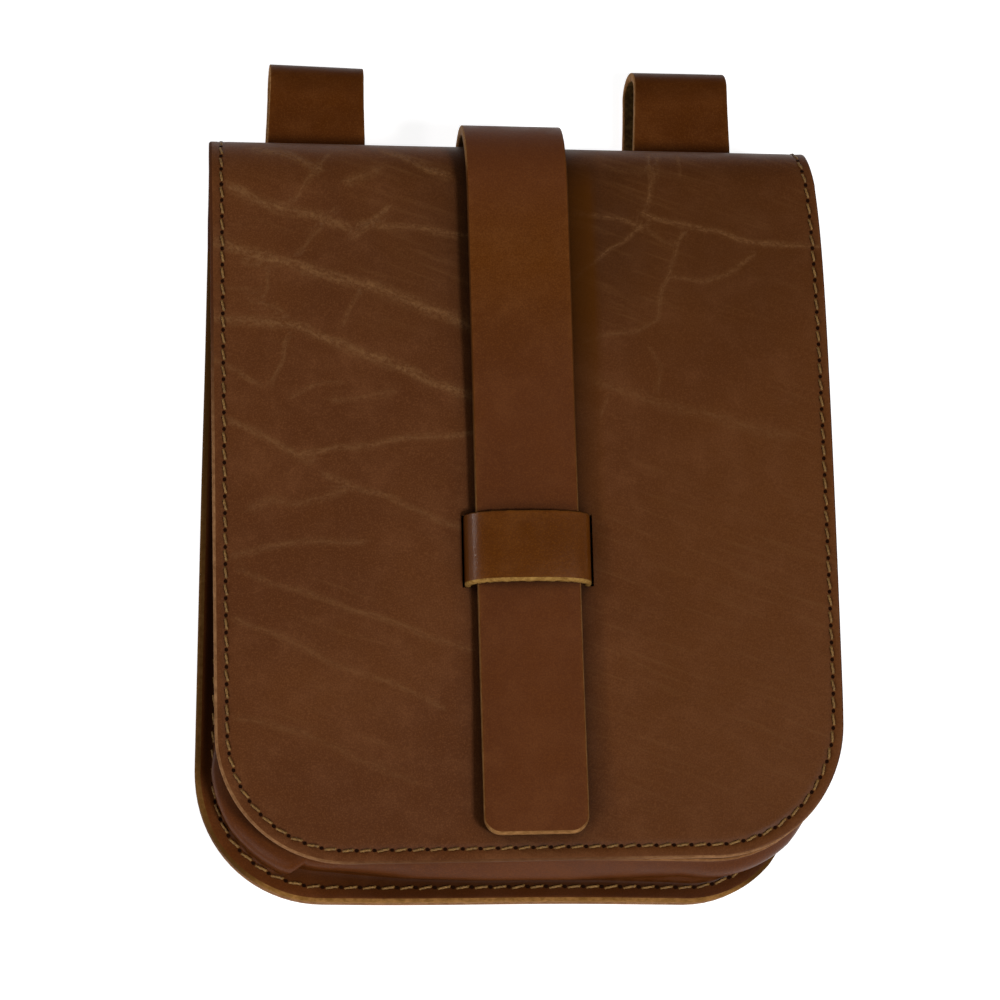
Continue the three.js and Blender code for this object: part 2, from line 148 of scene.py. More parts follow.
# Creases of the flap: half width, strength, and a line of (x, y) on the flap
CREASES = [
    (2.0, 1.0, [(-91, 190), (-81, 188), (-66, 183), (-49, 178), (-31, 172), (-13, 163)]),
    (1.0, 0.5, [(-80, 184), (-69, 182), (-60, 179)]),
    (1.9, 0.9, [(-90, 168), (-81, 166), (-72, 165), (-64, 164), (-57, 161)]),
    (1.9, 1.0, [(-57, 161), (-48, 157), (-39, 153), (-28, 148), (-14, 143)]),
    (1.2, 0.4, [(-78, 172), (-72, 170), (-64, 164)]),
    (1.9, 1.0, [(-83, 207), (-78, 204), (-72, 201), (-61, 198), (-50, 195)]),
    (1.4, 0.75, [(-46, 196), (-38, 195), (-14, 192)]),
    (1.4, 0.9, [(-76, 217), (-69, 216), (-58, 212)]),
    (1.0, 0.6, [(-55, 216), (-59, 211), (-66, 202)]),
    (1.6, 0.7, [(-49, 209), (-41, 211)]),
    (1.4, 0.9, [(-39, 217), (-30, 214), (-20, 210)]),
    (1.2, 0.9, [(-48, 192), (-43, 196), (-38, 200)]),
    (0.9, 0.6, [(-65, 185), (-61, 191), (-53, 200)]),
    (0.8, 0.5, [(-73, 181), (-73, 176), (-75, 173)]),
    (0.9, 0.5, [(-46, 175), (-49, 170), (-51, 165)]),
    (0.9, 0.6, [(-68, 160), (-69, 154), (-72, 147)]),
    (1.1, 0.6, [(-89, 154), (-82, 151), (-76, 147)]),
    (1.0, 0.5, [(-66, 143), (-60, 146), (-53, 147)]),
    (1.0, 0.3, [(-88, 177), (-76, 175)]),
    (1.4, 0.7, [(-84, 136), (-76, 132), (-69, 127), (-62, 124)]),
    (1.3, 0.7, [(-64, 126), (-54, 128), (-44, 128), (-36, 130), (-15, 132)]),
    (1.3, 0.6, [(-57, 120), (-50, 116), (-38, 112), (-19, 104)]),
    (1.5, 0.5, [(-78, 110), (-72, 112), (-65, 111), (-52, 115)]),
    (1.3, 0.5, [(-84, 96), (-75, 99), (-56, 100), (-46, 100)]),
    (1.2, 0.45, [(-82, 92), (-69, 87), (-55, 82), (-36, 75), (-17, 68)]),
    (1.2, 0.45, [(-83, 78), (-68, 71), (-54, 64), (-36, 57), (-25, 52)]),
    (1.2, 0.35, [(-83, 50), (-73, 48), (-54, 40), (-33, 30)]),
    (1.4, 0.4, [(-54, 142), (-38, 144)]),
    (0.9, 0.9, [(17, 199), (24, 198), (37, 195)]),
    (1.1, 1.0, [(37, 199), (50, 195), (70, 190), (89, 188)]),
    (0.8, 0.75, [(38, 196), (31, 190), (25, 186), (16, 178)]),
    (0.8, 0.5, [(37, 195), (42, 191), (47, 189)]),
    (0.8, 0.75, [(49, 193), (47, 188), (45, 180), (42, 176), (40, 166)]),
    (0.9, 0.65, [(46, 179), (54, 177), (61, 180), (69, 186)]),
    (0.9, 0.5, [(40, 166), (34, 163), (28, 162), (19, 159)]),
    (0.9, 0.8, [(42, 217), (40, 207), (39, 202)]),
    (0.7, 0.6, [(45, 217), (43, 210)]),
    (0.7, 0.5, [(51, 216), (50, 210)]),
    (1.0, 0.4, [(23, 214), (32, 212), (38, 211)]),
    (0.9, 0.4, [(38, 157), (41, 152), (40, 145)]),
    (2.2, 0.45, [(22, 147), (36, 142), (52, 137), (66, 133), (76, 130)]),
    (0.8, 0.4, [(25, 142), (23, 136)]),
]
CREASE_DEPTH = 0.08

# Painted shadow of the strap, an olive darkening beside its right edge: strength and reach; and strength of
# an olive tint on the right half
STRAP_SHADOW_PAINT, STRAP_SHADOW_REACH, RIGHT_OLIVE_TINT = 0.8, 10.0, 0.22

# Painted shade below the fold: its strength, and its share at places across the flap
SHADE = 0.5
SHADE_ACROSS = [(-70, 0.05), (-50, 0.2), (-30, 0.5), (-14, 0.85), (30, 1.0), (45, 0.65), (70, 0.6), (88, 0.3)]


def lerp(a, b, t):
    return a + (b - a) * t


def smoothstep(value, low, high):
    t = np.clip((value - low) / (high - low), 0, 1)
    return t * t * (3 - 2 * t)


def unit(vectors):
    return vectors / np.linalg.norm(vectors, axis=-1, keepdims=True)


def points(x, y, z):
    return np.stack(np.broadcast_arrays(x, y, z), axis=-1).astype(float)


BACK_DOWN = unit(np.array([0.0, BACK_RISE, -1.0]))


# Surfaces of the pouch, the same as in the part's source


def back_under(y):
    return BACK_RISE * y


def back_centre(y):
    return FOLD_SHIFT * y / FOLD_TOP


def back_half(y):
    return lerp(BACK_WIDTH, FOLD_WIDTH, y / FOLD_TOP) / 2


def back_set(x, y):
    """Moves places on the flat back to where the back lies."""
    dx = x - (back_centre(BACK_CORNER) + back_half(BACK_CORNER) - BACK_CORNER)
    dy = BACK_CORNER - y
    turn = np.arctan2(np.maximum(dy, 0), np.maximum(dx, 1e-6))
    amount = np.where(turn < math.pi / 4, CORNER_PRESS, CORNER_BULGE)
    push = np.where((dx > 0) & (dy > 0), -amount * np.sin(4 * turn), 0)
    push = push * (np.hypot(dx, dy) / BACK_CORNER) ** 3
    sag = LOW_SAG * smoothstep(-x, -30, 40) * smoothstep(y, 45, 5)
    drawn = SIDE_DRAWN * smoothstep(y, 115, 165) * smoothstep(y, 206, 190) * smoothstep(-x, 40, 85)
    return x + push * np.cos(turn) + drawn, y - push * np.sin(turn) - sag


def flap_half(y):
    return lerp(FLAP_WIDTH, FOLD_WIDTH, y / FOLD_TOP) / 2


def strap_x(y):
    return lerp(STRAP_END_X, STRAP_TOP_X, y / FOLD_TOP)


def flap_top(x, y):
    """Height of the flap's outer face before it is turned, with a slight sway of the leather."""
    down = np.clip((FOLD_START - y) / (FOLD_START - FLAP_LOW_Y), 0, 1)
    sway = 0.3 * np.sin(x / 29 + 1.1) * np.sin(y / 41 + 0.6) + 0.2 * np.sin(x / 17 - y / 31)
    bend = FLAP_CROWN * np.sin(math.pi * down) - FLAP_EDGE_DROP * (x / flap_half(y)) ** 4 * down
    level = lerp(FLAP_TOP_Z, FLAP_LOW_Z, down) + FLAP_TILT * x * down
    return level + bend + sway * np.sin(math.pi * down / 2)


def flap_tuck(y):
    """How far the right edge of the flap stands in below the fold, or further down out."""
    tuck = TUCK_FLAP * np.exp(-np.maximum(FOLD_START - y, 0) / TUCK_LENGTH)
    return tuck - FLAP_SPREAD * smoothstep(y, 25, 55)


def fold_tuck(angle):
    """The same round the fold, from 0 at the back to pi at the flap."""
    start = np.where(angle > math.pi / 2, TUCK_FLAP - FLAP_SPREAD, 0.0)
    return lerp(start, FOLD_TUCK, np.sin(angle))


def tucked(x, width, tuck):
    return np.where(x > 0, x * (width - tuck) / width, x)


def seam_shift(x, y):
    """How much nearer the edge the seam runs along the flap's right side."""
    return SEAM_RIGHT * smoothstep(x, 45, 80) * smoothstep(y, 18, 60)


def turned(p, share=1.0):
    """Turns points about the middle of the fold by a share of the flap's turn."""
    angle = FLAP_TURN * np.asarray(share, float)
    up = p[..., 1] - FOLD_TOP
    x = np.cos(angle) * p[..., 0] - np.sin(angle) * up + FOLD_SHIFT
    y = np.sin(angle) * p[..., 0] + np.cos(angle) * up + FOLD_TOP
    return points(x, y, p[..., 2])


def height_normal(height, x, y, step=0.4):
    """Normals, turned with the flap, of a surface given by its height."""
    slope_x = (height(x + step, y) - height(x - step, y)) / (2 * step)
    slope_y = (height(x, y + step) - height(x, y - step)) / (2 * step)
    n = unit(points(-slope_x, -slope_y, 1.0))
    c, s = math.cos(FLAP_TURN), math.sin(FLAP_TURN)
    return points(c * n[..., 0] - s * n[..., 1], s * n[..., 0] + c * n[..., 1], n[..., 2])


def fold_stations(low, high, reach, steps):
    """Stations over the fold, from the flap to the back, on a half ellipse between the heights low and high.

    Gives each one's share of the turn, y, z, normal, and the leather's run to it, and past the last one.
    """
    t = np.linspace(1, 0, steps + 1)
    angle = t * math.pi
    rise = (high - low) / 2
    y = FOLD_START + reach * np.sin(angle)
    z = (low + high) / 2 - rise * np.cos(angle)
    n = unit(points(0.0, np.sin(angle) / reach, -np.cos(angle) / rise))
    step = math.pi / steps * np.hypot(reach * np.cos(angle), rise * np.sin(angle))
    return t, y, z, n, FOLD_START + np.concatenate([[0.0], np.cumsum(step)])


def flap_fold(steps):
    """The fold stations of the flap's own leather, at the middle of its thickness."""
    half = BACK_HIDE / 2
    return fold_stations(back_under(FOLD_START) + half, FLAP_TOP_Z - half, FOLD_REACH - half, steps)


def rounded_end(radius, steps):
    """Distances from a rounded end, and how far its outline stands in there."""
    angle = np.linspace(0, math.pi / 2, steps + 1)
    return list(zip(radius * (1 - np.cos(angle)), radius * (1 - np.sin(angle))))


def corner_distance(x, y, half, low, radius):
    """Distance in from the outline of a panel with two rounded bottom corners."""
    dx = np.abs(x) - (half - radius)
    dy = radius - (y - low)
    inside = np.minimum(half - np.abs(x), y - low)
    return np.where((dx > 0) & (dy > 0), radius - np.hypot(np.maximum(dx, 0), np.maximum(dy, 0)), inside)


def panel_edge(half, centre, low, corner, inset, counts, top=GUSSET_TOP):
    """Points down the left side of a panel, round its bottom and up its right side, standing in by inset.

    half and centre give the panel's half width and middle at each y.
    """
    side, turn, bottom = counts
    radius = corner - inset
    corner_y = low + corner
    side_y = np.linspace(top, corner_y, side + 1)[:-1]
    angle = np.linspace(math.pi, 1.5 * math.pi, turn + 1)
    left_x = centre(corner_y) - half(corner_y) + corner
    right_x = centre(corner_y) + half(corner_y) - corner
    bottom_x = np.linspace(left_x, right_x, bottom + 1)[1:-1]
    x = np.concatenate([
        centre(side_y) - half(side_y) + inset,
        left_x + radius * np.cos(angle),
        bottom_x,
        right_x + radius * np.cos(angle + math.pi / 2),
        (centre(side_y) + half(side_y) - inset)[::-1],
    ])
    y = np.concatenate([
        side_y,
        corner_y + radius * np.sin(angle),
        np.full(len(bottom_x), low + inset),
        corner_y + radius * np.sin(angle + math.pi / 2),
        side_y[::-1],
    ])
    return x, y


def back_edge(inset, counts):
    return panel_edge(back_half, back_centre, 0.0, BACK_CORNER, inset, counts)


def front_edge(inset, counts):
    return panel_edge(lambda y: FRONT_HALF + 0 * y, lambda y: 0 * y, FRONT_LOW_Y, FRONT_CORNER, inset, counts)


def wander(x, y):
    """Smooth irregular shift of a few tenths, for hand-drawn looking lines."""
    shift_x = 0.4 * np.sin(y / 5.3 + 1.7 * np.sin(x / 9.1)) + 0.2 * np.sin(x / 1.9 + y / 2.3)
    shift_y = 0.4 * np.sin(x / 4.7 + 1.3 * np.sin(y / 8.3)) + 0.2 * np.sin(y / 1.7 - x / 2.9)
    return shift_x, shift_y


def crease_marks(x, y):
    """Strength of the nearest crease at each point, and the place across it, in half widths, and along it."""
    shift_x, shift_y = wander(x, y)
    px, py = x + shift_x, y + shift_y
    best, across, along = (np.zeros_like(px) for _ in range(3))
    for number, (half, strength, line) in enumerate(CREASES):
        near, side, run = np.full_like(px, 1e6), np.zeros_like(px), np.zeros_like(px)
        start = 31.0 * number
        for (ax, ay), (bx, by) in zip(line, line[1:]):
            ex, ey = bx - ax, by - ay
            length = math.hypot(ex, ey)
            t = np.clip(((px - ax) * ex + (py - ay) * ey) / length**2, 0, 1)
            dx, dy = px - ax - t * ex, py - ay - t * ey
            distance = np.hypot(dx, dy)
            closer = distance < near
            near = np.where(closer, distance, near)
            side = np.where(closer, np.copysign(distance, ex * dy - ey * dx), side)
            run = np.where(closer, start + t * length, run)
            start += length
        field = strength * np.exp(-((near / (1.4 * half)) ** 2))
        wins = field > best
        best = np.where(wins, field, best)
        across = np.where(wins, side / half, across)
        along = np.where(wins, run, along)
    return {"crease": best, "crease_across": across, "crease_along": along}


# Mesh building

RIM_STEPS, LEAST_RIM, RIM_ROUNDING = 3, 0.02, 0.6
GRAIN, FLESH, EDGE = 0, 1, 2
SHARP_ANGLE = math.radians(50)


def grid_normals(grid):
    return unit(np.cross(np.gradient(grid, axis=1), np.gradient(grid, axis=0)))


def to_row(p):
    return (p + DESIGN_ORIGIN) * MM


def link(name, data):
    made = bpy.data.objects.new(name, data)
    bpy.context.scene.collection.objects.link(made)
    return made


def new_object(name, verts, faces, material_of_face, materials, attributes):
    mesh = bpy.data.meshes.new(name)
    mesh.from_pydata(to_row(verts).tolist(), [], faces)
    mesh.polygons.foreach_set("material_index", np.asarray(material_of_face, np.int32))
    mesh.polygons.foreach_set("use_smooth", np.ones(len(mesh.polygons), bool))
    for material in materials:
        mesh.materials.append(material)
    for key, values in attributes.items():
        mesh.attributes.new(key, "FLOAT", "POINT").data.foreach_set("value", values.astype(np.float32))
    mesh.update()
    mesh.set_sharp_from_angle(angle=SHARP_ANGLE)
    return link(name, mesh)


def leather_sheet(
    name, grid, thickness, materials, inset, tone_of, rim,
    normal=None, rim_of=None, relief=0.0, marks=None, holes=None, fray=0.0,
):
    """A closed sheet of leather around a grid of middle points, with rounded cut edges.

    inset holds each point's distance in from the cut edge. tone_of says how pale the cut edge is at each
    outward direction and place, and rim_of how wide the rounding looks. relief is how deep the grain face is
    pressed in, marks are named values for the grain face, holes are the cells that are cut out, and fray is
    how ragged the edge is.
    """
    rows, columns = grid.shape[:2]
    count = rows * columns
    if normal is None:
        normal = grid_normals(grid)
    keep = np.ones((rows - 1, columns - 1), bool) if holes is None else ~holes
    half = thickness / 2
    face = grid + normal * np.broadcast_to(half - relief, (rows, columns))[..., None]
    back = grid - normal * half
    index = np.arange(count).reshape(rows, columns)
    loop = np.concatenate([index[0, :-1], index[:-1, -1], index[-1, :0:-1], index[:0:-1, 0]])
    middle = grid.reshape(-1, 3)[loop]
    up = normal.reshape(-1, 3)[loop]
    tangent = unit(np.roll(middle, -1, axis=0) - np.roll(middle, 1, axis=0))
    outward = unit(np.cross(tangent, up))
    width = rim if rim_of is None else rim_of(outward)
    place = np.arange(len(loop))
    ragged = 1 + fray * np.sin(place * 2.39) * np.sin(place * 0.71 + 0.4)
    rounding = min(RIM_ROUNDING, half - 0.1)
    arc = np.arange(1, RIM_STEPS + 1) * math.pi / 2 / RIM_STEPS
    rings = [(np.maximum(rim - width, LEAST_RIM), half)]
    rings += [(rim - width * (1 - math.sin(a)), half - rounding * (1 - math.cos(a))) for a in arc]
    rings += [(rim * math.sin(a), rounding * (1 - math.cos(a)) - half) for a in arc[::-1]]
    verts = [face.reshape(-1, 3), back.reshape(-1, 3)]
    verts += [middle + outward * (out * ragged)[:, None] + up * high for out, high in rings]
    corners = [index[:-1, :-1], index[:-1, 1:], index[1:, 1:], index[1:, :-1]]
    quads = np.stack([c[keep] for c in corners], axis=-1)
    faces = quads.tolist() + (quads[:, ::-1] + count).tolist()
    kinds = [GRAIN] * len(quads) + [FLESH] * len(quads)
    ring_index = [loop, *(2 * count + k * len(loop) + place for k in range(len(rings))), loop + count]
    for k, (upper, lower) in enumerate(zip(ring_index, ring_index[1:])):
        strip = np.stack([upper, lower, np.roll(lower, -1), np.roll(upper, -1)], axis=-1)
        faces += strip.tolist()
        kinds += [GRAIN if k == 0 else EDGE] * len(strip)
    walls = hole_walls(index, ~keep, count)
    faces += walls
    kinds += [EDGE] * len(walls)
    on_rim = len(rings) * len(loop)
    attributes = {
        "inset": np.concatenate([inset.ravel()] * 2 + [np.zeros(on_rim)]),
        "tone": np.concatenate([np.full(2 * count, 0.5)] + [tone_of(outward, middle)] * len(rings)),
    }
    for key, values in (marks or {}).items():
        attributes[key] = np.concatenate([values.ravel(), np.zeros(count + on_rim)])
    return new_object(name, np.concatenate(verts), faces, kinds, materials, attributes)


def hole_walls(index, holes, count):
    """Faces through the leather round the cells that are cut out."""
    walls = []
    padded = np.pad(holes, 1)
    for r, c in np.argwhere(holes):
        sides = {
            (-1, 0): (index[r, c], index[r, c + 1]),
            (1, 0): (index[r + 1, c + 1], index[r + 1, c]),
            (0, -1): (index[r + 1, c], index[r, c]),
            (0, 1): (index[r, c + 1], index[r + 1, c + 1]),
        }
        for (dr, dc), (a, b) in sides.items():
            if not padded[r + 1 + dr, c + 1 + dc]:
                walls.append([int(a), int(b), int(b + count), int(a + count)])
    return walls


def stacked(rows):
    """Grids from rows of (points, normal, place across, place along the leather, inset)."""
    shape = rows[0][0].shape
    shapes = (shape, shape, shape[:1], shape[:1], shape[:1])
    return [np.array([np.broadcast_to(row[k], size) for row in rows]) for k, size in enumerate(shapes)]


def smooth_rows(rows, steps):
    """A Catmull-Rom curve through control rows of points, with steps between each two."""
    rows = np.asarray(rows)
    padded = np.concatenate([[2 * rows[0] - rows[1]], rows, [2 * rows[-1] - rows[-2]]])
    made = []
    for p0, p1, p2, p3 in zip(padded, padded[1:], padded[2:], padded[3:]):
        for t in np.arange(steps) / steps:
            blend = 2 * p1 + (p2 - p0) * t + (2 * p0 - 5 * p1 + 4 * p2 - p3) * t**2
            made.append((blend + (3 * p1 - p0 - 3 * p2 + p3) * t**3) / 2)
    made.append(rows[-1])
    return np.array(made)


# Materials


def tint(red, green, blue):
    """A display colour from 0 to 255 as the shader's linear colour."""
    shares = np.array([red, green, blue]) / 255
    linear = np.where(shares <= 0.04045, shares / 12.92, ((shares + 0.055) / 1.055) ** 2.4)
    return (*linear.tolist(), 1.0)


class Shader:
    """A material with one Principled shader and helpers to add nodes to it."""

    def __init__(self, name, specular, roughness):
        self.material = bpy.data.materials.new(name)
        self.material.use_nodes = True
        self.tree = self.material.node_tree
        self.principled = self.tree.nodes["Principled BSDF"]
        self.set("Specular IOR Level", specular)
        self.set("Roughness", roughness)
        self.place = self.node("ShaderNodeTexCoord").outputs["Object"]
        self.normal = None

    def node(self, kind, settings=None, **inputs):
        made = self.tree.nodes.new(kind)
        for key, value in (settings or {}).items():
            setattr(made, key, value)
        for key, value in inputs.items():
            self.put(made.inputs[key], value)
        return made

    def put(self, socket, value):
        if isinstance(value, bpy.types.NodeSocket):
            self.tree.links.new(value, socket)
        else:
            socket.default_value = value

    def set(self, name, value):
        self.put(self.principled.inputs[name], value)

    def noise(self, scale, detail=4.0, roughness=0.55, distortion=0.0, vector=None):
        made = self.node(
            "ShaderNodeTexNoise", Vector=vector or self.place, Scale=scale, Detail=detail,
            Roughness=roughness, Distortion=distortion,
        )
        return made.outputs["Fac"]

    def cells(self, scale):
        return self.node("ShaderNodeTexVoronoi", Vector=self.place, Scale=scale).outputs["Distance"]

    def attribute(self, name):
        return self.node("ShaderNodeAttribute", {"attribute_name": name}).outputs["Fac"]

    def math(self, operation, a, b):
        made = self.node("ShaderNodeMath", {"operation": operation})
        self.put(made.inputs[0], a)
        self.put(made.inputs[1], b)
        return made.outputs[0]

    def times(self, a, b):
        return self.math("MULTIPLY", a, b)

    def bell(self, x):
        """One where x is zero, falling off to both sides."""
        return self.math("POWER", 2.718, self.times(self.times(x, x), -1.0))

    def span(self, value, low, high, to_low=0.0, to_high=1.0):
        made = self.node("ShaderNodeMapRange", {"interpolation_type": "SMOOTHSTEP"})
        keys = ("Value", "From Min", "From Max", "To Min", "To Max")
        for key, entry in zip(keys, (value, low, high, to_low, to_high)):
            self.put(made.inputs[key], entry)
        return made.outputs["Result"]

    def mix(self, share, a, b):
        made = self.node("ShaderNodeMix", {"data_type": "RGBA"})
        self.put(made.inputs["Factor"], share)
        self.put(made.inputs[6], a)
        self.put(made.inputs[7], b)
        return made.outputs[2]

    def bump(self, height, depth, strength):
        """Adds a relief of that depth, in millimetres, to the ones before it."""
        made = self.node("ShaderNodeBump", Strength=strength, Distance=depth * MM, Height=height)
        if self.normal is not None:
            self.put(made.inputs["Normal"], self.normal)
        self.normal = made.outputs["Normal"]
        self.set("Normal", self.normal)


# Noise scales of leather and thread, for each metre
CLOUD, MOTTLE, WORN, PATTERN, PORES, SPECK, BROKEN, STREAKED = 16, 110, 220, 900, 1500, 2300, 1000, 14
EDGE_FIBRE, EDGE_PATCH, NAP, NAP_PATCH = (500, 500, 1500), 70, 700, 45
THREAD_FIBRE, THREAD_PATCH, HOLE_PATCH, HOLE_GRAIN = 1800, 90, 800, 900

# Painted shade darkens the grain where pieces meet, within this many millimetres, towards its dark colour
CREVICE_SHADE_REACH, PAINTED_SHADE_DARK = 8.0, tint(22, 9, 1)

# Creases: colour, and the length of their strands along and across
CREASE_TAN = tint(124, 84, 48)
STRAND_ALONG, STRAND_ACROSS = 0.17, 1.3

# Fine parallel streaks of the flap's leather: their direction, and their length and width in metres
STREAK_TURN, STREAK_SIZE = math.radians(-20), (0.03, 0.0022, 1.0)

# Half width of the pressed seam line, and how dull the painted shade and tone marks are
GROOVE_HALF, SHADE_AND_TONE_SPECULAR = 0.9, 0.03


def grain_leather(
    name, dark, middle, light, shade_and_tone=None, flap=False, specular=0.1, rough=(0.42, 0.56), crevice_shade_share=0.8,
):
    """The smooth grain side: mottled, with pores, wear at the edges and painted shade where pieces meet. The
    flap has creases, a seam line and painted shade below the fold too.
    """
    s = Shader(name, specular, rough[0])
    mottle = s.noise(MOTTLE, 5, 0.6)
    pattern = s.noise(PATTERN, 5, 0.65)
    speck = s.noise(SPECK, 2, 0.5)
    inset = s.attribute("inset")
    colour = s.mix(s.span(s.noise(CLOUD, 3, 0.5, 0.6), 0.3, 0.7), dark, middle)
    colour = s.mix(s.span(mottle, 0.45, 0.75, 0.0, 0.4), colour, light)
    colour = s.mix(s.span(pattern, 0.5, 0.75, 0.0, 0.22), colour, light)
    colour = s.mix(s.span(pattern, 0.5, 0.28, 0.0, 0.4), colour, dark)
    colour = s.mix(s.span(speck, 0.45, 0.72, 0.0, 0.5), colour, light)
    colour = s.mix(s.span(speck, 0.55, 0.28, 0.0, 0.5), colour, dark)
    paler_edge = s.times(s.span(inset, 2.2, 0.2), s.span(s.noise(WORN), 0.4, 0.62))
    colour = s.mix(s.times(paler_edge, 0.35), colour, light)
    rough_map = s.span(mottle, 0.3, 0.75, *rough)
    if flap:
        # Painted shade below the fold on the flap
        colour = s.mix(s.attribute("shade"), colour, PAINTED_SHADE_DARK)
        across = s.attribute("crease_across")
        strand_place = s.node(
            "ShaderNodeCombineXYZ", X=s.times(s.attribute("crease_along"), STRAND_ALONG),
            Y=s.times(across, STRAND_ACROSS),
        ).outputs["Vector"]
        strands = s.span(s.noise(1.0, 5, 0.7, 0.2, strand_place), 0.34, 0.62, 0.3, 1.0)
        broken = s.span(s.noise(BROKEN, 5, 0.75), 0.38, 0.6, 0.25, 1.0)
        line = s.times(s.times(s.times(s.attribute("crease"), s.bell(across)), strands), broken)
        streak_place = s.node(
            "ShaderNodeMapping", {"vector_type": "TEXTURE"}, Vector=s.place,
            Rotation=(0.0, 0.0, STREAK_TURN), Scale=STREAK_SIZE,
        ).outputs["Vector"]
        streaks = s.span(s.noise(1.0, 4, 0.6, 0.5, streak_place), 0.5, 0.76, 0.0, 0.24)
        streaks = s.times(streaks, s.span(s.noise(STREAKED, 2), 0.38, 0.6))
        colour = s.mix(streaks, colour, CREASE_TAN)
        colour = s.mix(line, colour, CREASE_TAN)
        rough_map = s.math("ADD", rough_map, s.times(line, 0.12))
        s.bump(line, 0.12, 0.7)
        groove = s.bell(s.math("DIVIDE", s.math("SUBTRACT", inset, STITCH_INSET), GROOVE_HALF))
        colour = s.mix(s.times(groove, 0.3), colour, dark)
        s.bump(s.times(groove, -1.0), 0.25, 0.8)
    # Painted shade, and on some pieces a tone, mixed in by a mark that also dulls the specular
    if shade_and_tone is not None:
        shade_and_tone_share = s.attribute("shade_and_tone")
        colour = s.mix(shade_and_tone_share, colour, shade_and_tone)
        s.set("Specular IOR Level", s.span(shade_and_tone_share, 0.0, 1.0, specular, SHADE_AND_TONE_SPECULAR))
    # Painted shade: the grain's colour darkens where ambient occlusion finds parts nearby
    crevice_shade = s.node("ShaderNodeAmbientOcclusion", {"samples": 4}, Distance=CREVICE_SHADE_REACH * MM).outputs["AO"]
    s.set("Base Color", s.mix(s.span(crevice_shade, 0.95, 0.42, 0.0, crevice_shade_share), colour, PAINTED_SHADE_DARK))
    s.set("Roughness", rough_map)
    s.bump(mottle, 0.12, 0.5)
    s.bump(pattern, 0.05, 0.8)
    s.bump(s.cells(PORES), 0.03, 0.6)
    return s.material


def cut_edge(name, pale, deep, burnt_and_shaded):
    """Raw cut leather: fibres along the edge, paler and darker, burnished dark where the tone is low, and on
    the flap's right-facing edges dark as painted shade.
    """
    s = Shader(name, 0.05, 0.75)
    along = s.node("ShaderNodeMapping", Vector=s.place, Scale=EDGE_FIBRE).outputs["Vector"]
    fibre = s.noise(1.0, 5, 0.7, 0.0, along)
    patch = s.noise(EDGE_PATCH, 4, 0.6)
    colour = s.mix(s.span(fibre, 0.3, 0.72), deep, pale)
    colour = s.mix(s.span(patch, 0.45, 0.75, 0.0, 0.5), colour, deep)
    s.set("Base Color", s.mix(s.span(s.attribute("tone"), 1.0, 0.0), colour, burnt_and_shaded))
    s.set("Roughness", s.span(patch, 0.3, 0.7, 0.62, 0.85))
    s.bump(fibre, 0.12, 0.8)
    return s.material


def flesh_side(pale, deep):
    """The rough inner side of the leather."""
    s = Shader("flesh_side", 0.1, 0.9)
    nap = s.noise(NAP, 6, 0.75)
    colour = s.mix(s.span(nap, 0.3, 0.72), deep, pale)
    s.set("Base Color", s.mix(s.span(s.noise(NAP_PATCH, 4, 0.6), 0.4, 0.75, 0.0, 0.6), colour, deep))
    s.set("Roughness", s.span(nap, 0.3, 0.7, 0.8, 0.95))
    s.bump(nap, 0.15, 0.8)
    return s.material


def waxed_thread():
    s = Shader("waxed_thread", 0.3, 0.5)
    fibre = s.noise(THREAD_FIBRE, 4, 0.7)
    colour = s.mix(s.span(fibre, 0.3, 0.7), tint(92, 64, 26), tint(152, 112, 58))
    patch = s.noise(THREAD_PATCH, 3)
    s.set("Base Color", s.mix(s.span(patch, 0.4, 0.7, 0.0, 0.35), colour, tint(84, 58, 24)))
    s.set("Roughness", s.span(fibre, 0.3, 0.7, 0.45, 0.65))
    s.bump(fibre, 0.08, 0.8)
    return s.material


def awl_hole_shade():
    s = Shader("awl_hole_shade", 0.05, 0.9)
    # Painted shade: the plug in each awl hole is near black
    s.set("Base Color", s.mix(s.noise(HOLE_PATCH, 3), tint(18, 6, 1), tint(34, 13, 3)))
    s.bump(s.noise(HOLE_GRAIN, 3), 0.1, 0.6)
    return s.material


# Each sheet's materials: grain side, flesh side and cut edge
flesh = flesh_side(tint(112, 86, 48), tint(66, 46, 18))
strap_edge = cut_edge("strap_edge", tint(160, 116, 70), tint(118, 80, 42), tint(76, 40, 10))
# The flap's last colour is the olive of its painted strap shadow and right-half tint
FLAP_SET = [
    grain_leather(
        "flap_grain", tint(84, 45, 19), tint(97, 55, 25), tint(113, 68, 36), tint(84, 45, 7), flap=True),
    flesh,
    cut_edge("flap_edge", tint(162, 118, 78), tint(118, 80, 48), tint(70, 36, 16)),
]
FRONT_SET = [
    grain_leather("front_grain", tint(86, 45, 20), tint(94, 51, 23), tint(106, 61, 32)),
    flesh,
    cut_edge("front_edge", tint(150, 106, 66), tint(110, 72, 40), tint(90, 52, 28)),
]
# The gusset's last colour is the near black of its painted shade
GUSSET_SET = [
    grain_leather(
        "gusset_grain", tint(78, 37, 7), tint(88, 43, 9), tint(101, 54, 17), tint(30, 12, 2),
        specular=0.12, rough=(0.36, 0.46), crevice_shade_share=0.5),
    flesh,
    cut_edge("gusset_edge", tint(160, 114, 62), tint(116, 79, 33), tint(74, 45, 12)),
]
# The strap's last colour, a greyer pink, is painted shade and sheen over the fold and a redder tone on its
# lower part
STRAP_SET = [
    grain_leather("strap_grain", tint(81, 40, 4), tint(95, 49, 9), tint(112, 64, 22), tint(93, 52, 37)),
    flesh,
    strap_edge,
]
KEEPER_SET = [
    grain_leather(
        "keeper_grain", tint(84, 41, 2), tint(98, 50, 3), tint(112, 62, 11),
        specular=0.36, rough=(0.28, 0.37)),
    flesh,
    cut_edge("keeper_edge", tint(176, 136, 74), tint(122, 86, 38), tint(80, 44, 12)),
]
